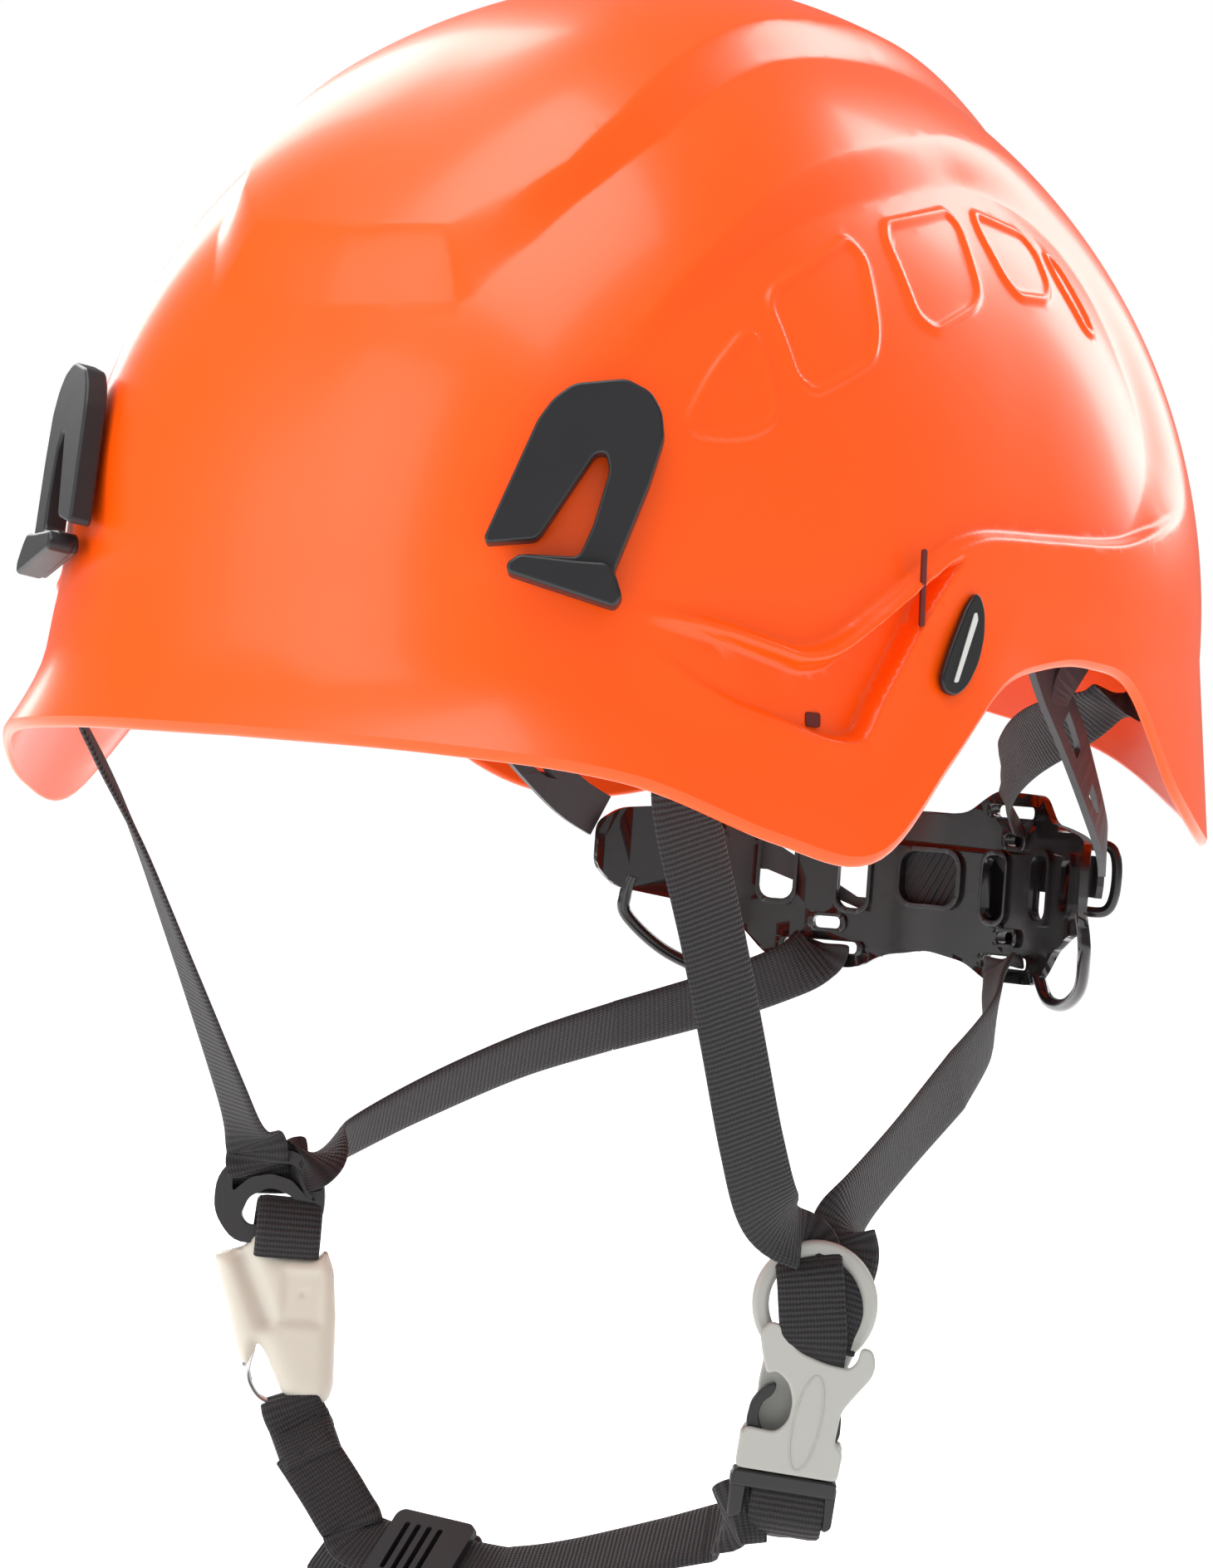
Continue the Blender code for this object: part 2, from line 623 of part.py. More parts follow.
STRAPS = {
    "front_strap_left": (
        ((86.2, -102.4, -34), (85.2, -100.2, -44), (84, -86, -70), (82.6, -74, -92), (80.6, -61, -115), (78.5, -47, -132)),
        ((50, 0), (52, 0), (55, 0), (55, 0), (52, 0), (45, 0)),
    ),
    "front_strap_right": (
        ((-87.2, -101.5, -34), (-86, -97.5, -40), (-85, -82, -57.5), (-83, -64, -86), (-81, -47, -114), (-80, -38, -129)),
        ((-42, 0), (-40, 0), (-36, 0), (-28, 0), (-18, 0), (-10, 0)),
    ),
    "rear_strap_left": (
        ((33, 104, -86), (39, 95, -92), (52, 62, -103), (65, 22, -116.5), (75, -12, -129), (79.5, -25, -136.5)),
        ((150, 0), (120, 0), (75, 0), (60, -.2), (55, -.2), (45, -.1)),
    ),
    "rear_strap_right": (
        ((-29.5, 109, -84), (-42, 96, -90), (-57, 72, -99), (-66, 48, -107), (-74, 18, -119), (-78, -12, -132.5)),
        ((-150, .5), (-135, .5), (-115, .55), (-105, .6), (-95, .6), (-70, .4)),
    ),
    "nape_webbing_left": (
        ((37, 98, -33), (46, 84, -28), (62, 68, -22), (79, 59, -16), (91, 57, -11), (98, 57, -7)),
        ((150, 0), (140, .3), (120, .6), (100, .9), (90, .6), (90, .2)),
    ),
}


def make_straps(parts, fabric):
    for name, (route, looks) in STRAPS.items():
        bm = ribbon_mesh(route, [facing(*look) for look in looks], WEBBING_WIDTH, WEBBING_THICKNESS, 4)
        strap = finish(mesh_object(name, bm, parts, fabric))
        if name == "nape_webbing_left":
            mirrored(strap, "nape_webbing_right", parts)
    tab = ribbon_mesh(((86.3, -105.7, -22), (86.4, -105, -27.5), (86.4, -103.9, -31.9)), [facing(48)] * 3, 15.6, 3, 2)
    tab = finish(mesh_object("strap_tab_left", tab, parts, fabric))
    mirrored(tab, "strap_tab_right", parts)


def placed(obj, centre, lean=0.0):
    obj.rotation_euler = Euler((0, math.radians(lean), math.radians(RING_TURN)), "XYZ")
    obj.location = Vector(centre) * MM
    return obj


def make_buckle(parts, cutters, grey, black, fabric):
    """The buckle: a body with its strap ring, and the two-pronged plug that the lower strap is wrapped round."""
    body = mesh_object("buckle_body", outline_mesh("buckle_body", [
        [(14 * math.cos(math.radians(a)), 14.5 * math.sin(math.radians(a))) for a in range(-35, 216, 10)]
        + [(-9.6, -17), (-12.2, -24.5), (-12.2, -38), (10.6, -38), (10.6, -24.5), (8.6, -17)],
        [(9.8 * math.cos(math.radians(a)), 10.2 * math.sin(math.radians(a))) for a in range(-40, 221, 10)],
    ], 4.6), parts, grey)
    join(body, box_mesh((-11.6, -4.6, -37.7), (10.9, 4.6, -13)), cutters)
    cut(body, box_mesh((-8.4, -2.9, -50), (7.4, 2.9, -15)), cutters)
    cut(body, box_mesh((-20, -2.6, -35), (20, 2.6, -20)), cutters)
    edge = body.modifiers.new("Edge", "BEVEL")
    edge.width = 0.7 * MM
    edge.segments = 1
    edge.limit_method = "ANGLE"
    edge.angle_limit = math.radians(60)
    placed(finish(body), RING_CENTRE, BUCKLE_LEAN)

    plug = mesh_object("buckle_plug", box_mesh((-11.6, -4.6, -42), (10.9, 4.6, -38.2)), parts, black)
    join(plug, box_mesh((-1.6, -1.7, -40), (0.6, 1.7, -17)), cutters)
    for low, high in (((-11.6, -3.4, -49.6), (-9, 3.4, -41)), ((8.3, -3.4, -49.6), (10.9, 3.4, -41)),
                      ((-10.5, -1.4, -49), (10, 1.4, -46.6))):
        join(plug, box_mesh(low, high), cutters)
    for low in (-8.0, 4.0):
        cut(plug, box_mesh((low - 0.3, -2.6, -41), (low + 3.4, 2.6, -38)), cutters)
    placed(finish(plug), RING_CENTRE, BUCKLE_LEAN)

    for name, side, middle in (("prong_left", 1, -0.5), ("prong_right", -1, -0.5)):
        ring = [(4.9, -40.6), (7.0, -40.6), (7.2, -30.6), (9.1, -30.4), (9.2, -28), (7.2, -21), (5.0, -21)]
        ring = [(middle + side * x, z) for x, z in ring]
        prong = mesh_object(name, outline_mesh(name, [ring], 4.2), parts, black)
        placed(finish(prong), RING_CENTRE, BUCKLE_LEAN)

    wrap = [(-2.5, -45.6), (-3.0, -47.8), (-2.4, -50.2), (0, -51.2), (2.4, -50.2), (3.0, -47.8), (2.5, -45.6)]
    route = [(-0.35, y, z) for y, z in wrap]
    middle = Vector((-0.35, 0, -47.8))
    bm = ribbon_mesh(route, [Vector(p) - middle for p in route], 17, 1.3, 3)
    placed(finish(mesh_object("plug_webbing", bm, parts, fabric)), RING_CENTRE, BUCKLE_LEAN)

    loop = [(0, -3.6, -2), (0, -4.2, -6), (0, -3.9, -11), (0, -3.6, -12.4)]
    bm = ribbon_mesh(loop, [(0, -1, 0)] * 4, 15, 1.5, 3)
    placed(finish(mesh_object("ring_webbing", bm, parts, fabric)), RING_CENTRE, BUCKLE_LEAN)


def make_divider(parts, cutters, black, cover_material, metal, fabric):
    """The plate where the right straps meet, and the covered hook that hangs from it."""
    outline = [(-7, 11), (7, 11), (12.8, 3), (13, -4), (8, -11), (-8, -11), (-13, -4), (-12.8, 3)]
    upper = [(-8.4, 2.2), (-7.6, 5.4), (-3.5, 7.6), (3.5, 7.6), (7.6, 5.4), (8.4, 2.2), (4.5, 3.6), (-4.5, 3.6)]
    lower = rounded_box_ring(-8.4, 8.4, -6.4, -1.6, 2, 2)
    plate = mesh_object("y_divider", outline_mesh("y_divider", [outline, upper, lower], 4), parts, black)
    edge = plate.modifiers.new("Edge", "BEVEL")
    edge.width = 0.7 * MM
    edge.segments = 1
    edge.limit_method = "ANGLE"
    edge.angle_limit = math.radians(50)
    placed(finish(plate), DIVIDER_CENTRE)

    route = [(0, -0.6, -4), (0, -3.3, -6.4), (0, -3.6, -9), (0, -3.2, -11.9)]
    bm = ribbon_mesh(route, [(0, .4, 1), (0, -1, .8), (0, -1, 0), (0, -1, -.5)], 14, 1.5, 3)
    placed(finish(mesh_object("hook_webbing", bm, parts, fabric)), DIVIDER_CENTRE)

    cover = [(-12.2, -15.4), (-9.3, -14.4), (-4, -13.6), (-1.4, -12.6), (0.4, -13), (1.4, -14.6), (6, -15.4), (12, -14.2),
             (15.2, -18), (15.2, -43), (13.5, -46.2), (3, -44.8), (0.6, -41), (-2, -36), (-3.4, -33.6), (-5, -40.8), (-8.2, -28)]
    body = mesh_object("hook_cover", outline_mesh("hook_cover", [cover], 8), parts, cover_material)
    cut(body, box_mesh((-1.9, -2.4, -60), (14.5, 2.4, -16)), cutters)
    cut(body, box_mesh((-7, -1.6, -60), (-1, 1.6, -30)), cutters)
    edge = body.modifiers.new("Edge", "BEVEL")
    edge.width = 1.2 * MM
    edge.segments = 2
    edge.limit_method = "ANGLE"
    edge.angle_limit = math.radians(60)
    placed(finish(body), DIVIDER_CENTRE)

    hook = mesh_object("hook", box_mesh((1, -1.2, -34), (11.5, 1.2, -16.6)), parts, metal)
    cut(hook, box_mesh((4, -3, -31), (8.5, 3, -22)), cutters)
    placed(finish(hook), DIVIDER_CENTRE)

    bail = [(-2.5, -33.5), (-5.2, -37.5), (-5.8, -42), (-4.4, -47), (-0.5, -49.6), (8.5, -49.6), (12.4, -47), (12.6, -42),
            (10.8, -37.5), (6.25, -36.6)]
    bail = [(5.5 - 0.0, -27.5)] and bail
    points = sampled([(x, 0, z) for x, z in bail], 3)
    wire = wire_object("wire_loop", points, 1.0, parts, metal)
    placed(finish(wire), DIVIDER_CENTRE)

    fold = [(4, 2.4, -55), (4, 2.8, -50.5), (4, 0.2, -46.8), (4, -2.8, -49.5), (4, -2.2, -55)]
    centre = Vector((4, 0, -50.5))
    bm = ribbon_mesh(fold, [Vector(p) - centre for p in fold], WEBBING_WIDTH - 2, 1.3, 4)
    placed(finish(mesh_object("loop_webbing", bm, parts, fabric)), DIVIDER_CENTRE)


def make_lower_strap(parts, cutters, fabric, black):
    route = ((-64.5, -29, -199.5), (-60, -30, -202.5), (-53, -31.2, -208.5), (-46.5, -31.8, -214.6), SLIDER_ENDS[0],
             SLIDER_ENDS[1], (2, -32, -220.4), (18, -32, -216.5), (40, -32, -209.5), (56, -32.5, -206.5))
    looks = [(.2, -.85, .5)] + [(0.1, -.75, .62)] * 8 + [(0.2, -.8, .55)]
    bm = ribbon_mesh(route, looks, WEBBING_WIDTH, WEBBING_THICKNESS, 4)
    finish(mesh_object("lower_chin_strap", bm, parts, fabric))
    bm = box_mesh((-11, -9.6, -2.6), (11, 9.6, 2.6))
    slider = mesh_object("strap_slider", bm, parts, black)
    cut(slider, box_mesh((-20, -8.1, -1.3), (20, 8.1, 1.3)), cutters)
    for low in (-7.5, -2.0, 3.5):
        cut(slider, box_mesh((low, -6.5, 1), (low + 3.4, 6.5, 4)), cutters)
    edge = slider.modifiers.new("Edge", "BEVEL")
    edge.width = 0.5 * MM
    edge.segments = 1
    edge.limit_method = "ANGLE"
    edge.angle_limit = math.radians(60)
    along = (Vector(SLIDER_ENDS[1]) - Vector(SLIDER_ENDS[0])).normalized()
    out = Vector((0.1, -0.75, 0.62))
    out = (out - along * out.dot(along)).normalized()
    slider.rotation_euler = Matrix((along, out.cross(along), out)).transposed().to_euler()
    slider.location = (Vector(SLIDER_ENDS[0]) + Vector(SLIDER_ENDS[1])) * MM / 2
    finish(slider)
    route = ((-41.5, -29.4, -221.8), (-46, -29.3, -222.4), (-51, -28.8, -222.4), (-56.5, -28.2, -222))
    bm = ribbon_mesh(route, [(0.1, -.75, .62)] * 4, WEBBING_WIDTH - 1, 1.3, 4)
    finish(mesh_object("strap_tail", bm, parts, fabric))


def main():
    clear_scene()
    parts = new_collection("climbing_helmet")
    cutters = new_collection("cutters", True)
    orange = new_material("orange_shell", (0.95, 0.11, 0.01), 0.25)
    black = new_material("black_plastic", (0.012, 0.012, 0.013), 0.3)
    matte = new_material("matte_black_plastic", (0.02, 0.02, 0.022), 0.55)
    dark_grey = new_material("dark_grey_plastic", (0.05, 0.05, 0.055), 0.5)
    webbing = new_material("black_webbing", (0.02, 0.02, 0.022), 0.85)
    foam = new_material("padding", (0.04, 0.04, 0.045), 0.9)
    grey = new_material("grey_plastic", (0.42, 0.43, 0.41), 0.45)
    milky = new_material("milky_plastic", (0.62, 0.6, 0.52), 0.35)
    metal = new_material("plated_metal", (0.7, 0.7, 0.72), 0.2, 1.0)

    make_shell(parts, orange)
    for name, theta, height, side in (
        ("clip_front_left", CLIP_ANGLE, CLIP_HEIGHT, 1), ("clip_front_right", -CLIP_ANGLE, CLIP_HEIGHT, -1),
        ("clip_rear_left", 161, CLIP_HEIGHT + 6, -1), ("clip_rear_right", -161, CLIP_HEIGHT + 6, 1),
    ):
        make_clip(name, theta, height, side, parts, matte)
    make_badge("badge_left", 1, parts, matte)
    make_badge("badge_right", -1, parts, matte)
    make_headband(parts, dark_grey, foam)
    for name, theta in (("anchor_front_left", 48), ("anchor_front_right", -48), ("anchor_rear_left", 132),
                        ("anchor_rear_right", -132)):
        make_anchor(name, theta, parts, black)
    make_crown(parts, webbing, foam)
    make_yoke(parts, cutters, dark_grey, black)
    make_cradle(parts, cutters, black, foam)
    make_racks(parts, dark_grey)
    make_wheel(parts, cutters, black, matte)
    make_straps(parts, webbing)
    make_buckle(parts, cutters, grey, black, webbing)
    make_divider(parts, cutters, black, milky, metal, webbing)
    make_lower_strap(parts, cutters, webbing, black)


main()
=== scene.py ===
"""Dresses the climbing helmet's frame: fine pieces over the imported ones, their finishes and a studio.

+Z is up, the front faces -Y and the wearer's left is +X. Constants and outlines are in millimetres.
"""

import math
import bmesh
import bpy
import numpy as np
from mathutils import Euler, Matrix, Vector


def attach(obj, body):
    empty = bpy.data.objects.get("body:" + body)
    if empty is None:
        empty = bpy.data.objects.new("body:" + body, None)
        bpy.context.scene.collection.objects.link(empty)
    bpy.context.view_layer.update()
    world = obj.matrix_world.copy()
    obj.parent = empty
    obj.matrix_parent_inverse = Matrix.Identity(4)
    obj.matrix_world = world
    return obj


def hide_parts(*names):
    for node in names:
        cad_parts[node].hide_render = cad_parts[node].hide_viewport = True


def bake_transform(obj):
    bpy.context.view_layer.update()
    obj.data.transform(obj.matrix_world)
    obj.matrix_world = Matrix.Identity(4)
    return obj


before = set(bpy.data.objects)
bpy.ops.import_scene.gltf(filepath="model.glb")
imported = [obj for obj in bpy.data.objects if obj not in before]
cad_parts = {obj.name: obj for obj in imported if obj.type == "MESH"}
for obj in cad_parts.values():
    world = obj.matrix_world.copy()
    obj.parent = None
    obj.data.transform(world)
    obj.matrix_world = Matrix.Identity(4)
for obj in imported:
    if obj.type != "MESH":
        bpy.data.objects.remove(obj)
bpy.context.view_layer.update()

bl_info = {
    "name": "Climbing Helmet",
    "version": (1, 0, 0),
    "blender": (4, 5, 0),
    "location": "View3D > Sidebar > Helmet",
    "description": "Builds a climbing helmet with its suspension, chin harness, finishes and studio",
    "category": "Object",
}

MM = 0.001

# The shell's smooth outer surface: its plan, its dome, its wall and its brim.
HALF_WIDTH = 111.0
FRONT_LENGTH = 143.0
REAR_LENGTH = 141.0
DOME_HEIGHT = 145.0
FRONT_SQUARENESS = 2.8
REAR_SQUARENESS = 2.4
DOME_POWER = 2.08
DOME_ROUNDNESS = 1.85
WALL_SPREAD = 0.09
BRIM_FLARE = 6.0
BRIM_HEIGHT = 18.0
# The rim's height at each angle from the front.
RIM = (
    (0, -31.5), (20, -32.3), (35, -35.7), (48, -46.2), (58, -48.8), (68, -27.8), (78, -10.4), (88, -4.6),
    (98, -3.3), (108, -7.7), (120, -31), (135, -41.8), (150, -34.5), (165, -20.5), (180, -12.5),
)
# How far each area stands out or goes in, and the reach that turns the deck's angles into lengths.
DECK_HEIGHT = 4.6
DECK_REACH = 128.0
PANEL_DEPTH = 3.8
POCKET_DEPTH = 2.8
POCKET_DEEPENS = 3.0
PANEL_EDGE = 1.3
CROWN_RISE = 3.4
# The raised deck's foot and top edge: angle in the middle plane up from the front, half width there.
DECK_FOOT = ((25, 0), (26, 34), (27.5, 37), (34, 45), (43, 51), (51, 54), (62, 52), (73, 49), (94, 45),
             (115, 44), (135, 44), (150, 43), (152, 0))
DECK_TOP = ((32.4, 0), (33, 26), (34.5, 30), (38, 38), (42, 43), (50, 45), (62, 43), (74, 40), (94, 35),
            (115, 33), (135, 33), (142, 32), (144, 0))
# The side arch's inner and outer line, along Y and up.
ARCH_INNER = ((-128, 22), (-122, 38), (-113, 51), (-97, 68), (-74, 84), (-45, 95), (-8, 103), (11, 105),
              (34, 100), (48, 88), (55, 70), (57, 53), (54, 42), (41, 29), (33, 24))
ARCH_OUTER = ((-132, 22), (-125, 40), (-115, 54), (-99, 72), (-74, 91), (-49, 103), (-6, 113), (23, 115),
              (52, 109), (67, 94), (74, 74), (79, 52), (76, 38), (66, 28), (59, 24))
# The foot of the side panel and of the visor pocket below it, along Y and up.
PANEL_FOOT = ((-135, 2), (-119, -1), (-103, -4), (-91, -7), (-85, -8.3), (-77, -6.6), (-68, -1.3),
              (-61, 3.5), (-53, 8.8), (-45, 13.6), (-38, 17.5), (-30, 20), (-22, 21), (0, 21.6), (30, 23),
              (49, 27), (60, 30), (75, 34))
POCKET_FOOT = ((-118, -8), (-108, -16), (-100, -20), (-91, -22.5), (-83, -24.7), (-76, -26), (-71, -25.5),
               (-68, -24), (-64, -17.5), (-57, -8), (-46, 6.5), (-40, 13), (-33, 18))
# The five outlines embossed on the side panel, along Y and up, and the beads that draw them.
MARK_ROUNDING = 7
BEAD_WIDTH = 0.95
PANEL_MARKS = (
    ((-88, 64), (-86.5, 53), (-87, 43), (-96, 38.5), (-109, 37.5), (-100, 52)),
    ((-52, 87), (-49, 83), (-53, 66), (-57, 59), (-76, 50), (-80.5, 53), (-82, 69), (-79, 73)),
    ((-36, 92), (-8, 98), (-5.5, 95), (-9, 79), (-14, 75), (-32, 68), (-37.5, 71), (-38.5, 88)),
    ((4, 99), (23, 96), (26, 92), (25, 84), (21, 80.5), (8, 80), (4.5, 84), (2.5, 94)),
    ((31, 93), (36, 90), (41, 78), (41, 74), (37, 75), (31.5, 86)),
)
# The shell's mesh: coarse columns and rows of cells, and the finest cells across a coarse one.
SHELL_COLUMNS = 300
SHELL_ROWS = 76
FINEST = 4
CELL_TOLERANCE = 0.035
INNER_LAYERS = 48
LIP_STEPS = 6
LIP_DROP = 0.62

# Finishes: fine grain's depth against its size, slow patches, and the weave of the webbing.
GRAIN_DEPTH = 0.1
PATCHES_PER_METRE = 60
COAT_ROUGHNESS = 0.12
RIB_PITCH = 1.25
YARN_PITCH = 0.72
YARN_SHARE = 0.45
WEAVE_DEPTH = 0.16
SHARP_BEND = 42

NEAR_BLACK = (0.016, 0.016, 0.018)
GREY = (0.045, 0.046, 0.05)


class HelmetShellSettings(bpy.types.PropertyGroup):
    """Sizes and colours of the shell."""

    colour: bpy.props.FloatVectorProperty(
        name="Shell Colour", description="Base colour of the shell", subtype="COLOR", size=3, min=0, max=1,
        default=(1.0, 0.092, 0.0015),
    )
    roughness: bpy.props.FloatProperty(name="Shell Roughness",
                                       description="Roughness of the shell's surface", subtype="FACTOR",
                                       min=0, max=1, default=0.3,)
    wall: bpy.props.FloatProperty(
        name="Wall", description="Thickness of the shell's wall", subtype="DISTANCE", unit="LENGTH",
        min=0.001, max=0.005, default=0.0026,
    )
    bead: bpy.props.FloatProperty(
        name="Bead Height", description="Height of the embossed outlines", subtype="DISTANCE", unit="LENGTH",
        min=0, max=0.002, default=0.00085,
    )


class HelmetHarnessSettings(bpy.types.PropertyGroup):
    """Sizes and colours of the harness."""

    webbing_width: bpy.props.FloatProperty(
        name="Webbing Width", description="Width of the chin straps", subtype="DISTANCE", unit="LENGTH",
        min=0.01, max=0.02, default=0.015,
    )
    webbing_thickness: bpy.props.FloatProperty(name="Webbing Thickness",
                                               description="Thickness of the chin straps",
                                               subtype="DISTANCE", unit="LENGTH", min=0.0008, max=0.003,
                                               default=0.0015,)
    webbing_colour: bpy.props.FloatVectorProperty(
        name="Webbing Colour", description="Colour of the straps", subtype="COLOR", size=3, min=0, max=1,
        default=(0.015, 0.015, 0.017),
    )
    buckle_colour: bpy.props.FloatVectorProperty(name="Buckle Colour",
                                                 description="Colour of the buckle's body", subtype="COLOR",
                                                 size=3, min=0, max=1, default=(0.40, 0.41, 0.38),)


class HelmetStageSettings(bpy.types.PropertyGroup):
    """Light and background."""

    key_power: bpy.props.FloatProperty(name="Key Light", description="Power of the key light",
                                       subtype="POWER", unit="POWER", min=0, default=11.0,)
    sky: bpy.props.FloatProperty(name="Background Strength",
                                 description="Strength of the even light around the helmet", min=0,
                                 default=0.75,)


# ------------------------------------------------------------------------------------------- tools


def settings():
    return bpy.context.scene.helmet_shell, bpy.context.scene.helmet_harness, bpy.context.scene.helmet_stage


def new_material(name, colour, roughness, metallic=0.0, coat=0.0, specular=0.5):
    material = bpy.data.materials.new(name)
    material.use_nodes = True
    shader = material.node_tree.nodes["Principled BSDF"]
    for socket, value in (("Base Color", (*colour, 1.0)), ("Roughness", roughness), ("Metallic", metallic),
                          ("Coat Weight", coat), ("Coat Roughness", COAT_ROUGHNESS),
                          ("Specular IOR Level", specular),):
        shader.inputs[socket].default_value = value
    return material


def shader_node(tree, kind, inputs=None, **fields):
    """A new node with its fields set, and each input given a value or joined to another node's output."""
    node = tree.nodes.new("ShaderNode" + kind)
    for field, value in fields.items():
        setattr(node, field, value)
    for socket, value in (inputs or {}).items():
        if isinstance(value, bpy.types.NodeSocket):
            tree.links.new(value, node.inputs[socket])
        else:
            node.inputs[socket].default_value = value
    return node


def add_grain(material, size, strength, spread=0.06):
    """Fine texture: a bump from noise, and slower noise spread a little over the roughness."""
    tree = material.node_tree
    shader = tree.nodes["Principled BSDF"]
    place = shader_node(tree, "TexCoord").outputs["Object"]
    noise = shader_node(tree, "TexNoise", {"Scale": 1 / (size * MM), "Detail": 3, "Vector": place})
    depth = GRAIN_DEPTH * size * MM
    bump = shader_node(tree, "Bump", {"Strength": strength, "Distance": depth,
                                      "Height": noise.outputs["Fac"]})
    tree.links.new(bump.outputs["Normal"], shader.inputs["Normal"])
    patches = shader_node(tree, "TexNoise", {"Scale": PATCHES_PER_METRE, "Vector": place})
    base = shader.inputs["Roughness"].default_value
    ends = {"To Min": max(base - spread, 0.02), "To Max": min(base + spread, 1.0)}
    spread_over = shader_node(tree, "MapRange", {**ends, "Value": patches.outputs["Fac"]})
    tree.links.new(spread_over.outputs["Result"], shader.inputs["Roughness"])
    return material


def plastic(name, colour, roughness, size=0.4, strength=0.1, **more):
    """Moulded plastic with a fine grain."""
    return add_grain(new_material(name, colour, roughness, **more), size, strength)


def webbing_material(name, colour):
    """Woven webbing: ribs across the strap and yarns along it, both from the strap's own coordinates."""
    material = new_material(name, colour, 0.72, specular=0.42)
    tree = material.node_tree
    shader = tree.nodes["Principled BSDF"]
    shader.inputs["Sheen Weight"].default_value = 0.1
    shader.inputs["Sheen Roughness"].default_value = 0.5
    place = shader_node(tree, "UVMap", uv_map="strap").outputs["UV"]
    noise = shader_node(tree, "TexNoise", {"Scale": 0.8, "Detail": 4, "Vector": place})
    wobble = shader_node(tree, "VectorMath", {"Scale": 0.35, 0: noise.outputs["Color"]}, operation="SCALE")
    moved = shader_node(tree, "VectorMath", {0: place, 1: wobble.outputs["Vector"]})
    split = shader_node(tree, "SeparateXYZ", {"Vector": moved.outputs["Vector"]})

    def wave(output, pitch):
        turn = shader_node(tree, "Math", {0: output, 1: 2 * math.pi / pitch}, operation="MULTIPLY")
        return shader_node(tree, "Math", {0: turn.outputs[0]}, operation="SINE").outputs[0]

    ribs = wave(split.outputs["Y"], RIB_PITCH)
    yarns = wave(split.outputs["X"], YARN_PITCH)
    weave = shader_node(tree, "Math", {0: yarns, 1: YARN_SHARE, 2: ribs}, operation="MULTIPLY_ADD").outputs[0]
    bump = shader_node(tree, "Bump", {"Strength": 0.75, "Distance": WEAVE_DEPTH * MM, "Height": weave})
    tree.links.new(bump.outputs["Normal"], shader.inputs["Normal"])
    # The colour follows the weave's height: a real woven pattern, with painted shade in its troughs and a
    # painted highlight on its crests, over the same bump.
    shade = shader_node(tree, "MapRange", {"From Min": -1.4, "From Max": 1.4, "Value": weave})
    mix = shader_node(tree, "Mix", {"Factor": shade.outputs["Result"]}, data_type="RGBA")
    mix.inputs[6].default_value = (*[c * 0.42 for c in colour], 1)
    mix.inputs[7].default_value = (*[min(c * 1.75, 1) for c in colour], 1)
    tree.links.new(mix.outputs[2], shader.inputs["Base Color"])
    return material


def link_object(name, data):
    """A new object of this mesh, curve, light or camera, put in the scene."""
    obj = bpy.data.objects.new(name, data)
    bpy.context.scene.collection.objects.link(obj)
    return obj


def mesh_object(name, bm, material, body="helmet", smooth=35, bevel=None, segments=2):
    """The piece that a mesh makes, its edges softened by bevel, riding on a body unless that is None."""
    if bm.faces and bm.calc_volume(signed=True) < 0:
        bmesh.ops.reverse_faces(bm, faces=bm.faces)
    mesh = bpy.data.meshes.new(name)
    bm.to_mesh(mesh)
    bm.free()
    obj = link_object(name, mesh)
    mesh.materials.append(material)
    if bevel:
        edge = obj.modifiers.new("Edge", "BEVEL")
        edge.width = bevel * MM
        edge.segments = segments
        edge.limit_method = "ANGLE"
        edge.angle_limit = math.radians(SHARP_BEND)
        edge.harden_normals = False
    mesh.shade_smooth()
    if bevel:
        flat = obj.modifiers.new("Flats", "WEIGHTED_NORMAL")
        flat.keep_sharp = True
    else:
        mesh.set_sharp_from_angle(angle=math.radians(smooth))
    if body:
        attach(obj, body)
    return obj


def finished(obj, node=None, body=None):
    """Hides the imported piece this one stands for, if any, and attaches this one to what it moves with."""
    if node:
        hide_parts(node)
    if body:
        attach(obj, body)
    return obj


def repaint(material, *names):
    """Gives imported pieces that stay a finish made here."""
    for name in names:
        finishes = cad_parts[name].data.materials
        finishes.clear()
        finishes.append(material)


def bisect(bm, place, normal, **more):
    """Cuts a mesh along a plane, and keeps both sides unless told otherwise."""
    geometry = bm.verts[:] + bm.edges[:] + bm.faces[:]
    bmesh.ops.bisect_plane(bm, geom=geometry, plane_co=place, plane_no=normal, **more)


def outline_mesh(rings, depth, middle=0.0):
    """A flat outline with its holes, in the local XZ plane, given thickness along Y."""
    curve = bpy.data.curves.new("outline", "CURVE")
    curve.dimensions = "2D"
    curve.fill_mode = "BOTH"
    curve.extrude = depth * MM / 2
    for ring in rings:
        spline = curve.splines.new("POLY")
        spline.points.add(len(ring) - 1)
        for point, (x, z) in zip(spline.points, ring):
            point.co = (x * MM, z * MM, 0, 1)
        spline.use_cyclic_u = True
    holder = link_object("outline", curve)
    graph = bpy.context.evaluated_depsgraph_get()
    mesh = bpy.data.meshes.new_from_object(holder.evaluated_get(graph))
    bpy.data.objects.remove(holder, do_unlink=True)
    bpy.data.curves.remove(curve)
    bm = bmesh.new()
    bm.from_mesh(mesh)
    bpy.data.meshes.remove(mesh)
    bmesh.ops.remove_doubles(bm, verts=bm.verts, dist=1e-6)
    bmesh.ops.dissolve_limit(bm, angle_limit=0.01, verts=bm.verts, edges=bm.edges)
    bmesh.ops.rotate(bm, verts=bm.verts, matrix=Matrix.Rotation(math.radians(90), 3, "X"))
    bmesh.ops.translate(bm, verts=bm.verts, vec=(0, middle * MM, 0))
    bmesh.ops.recalc_face_normals(bm, faces=bm.faces)
    return bm


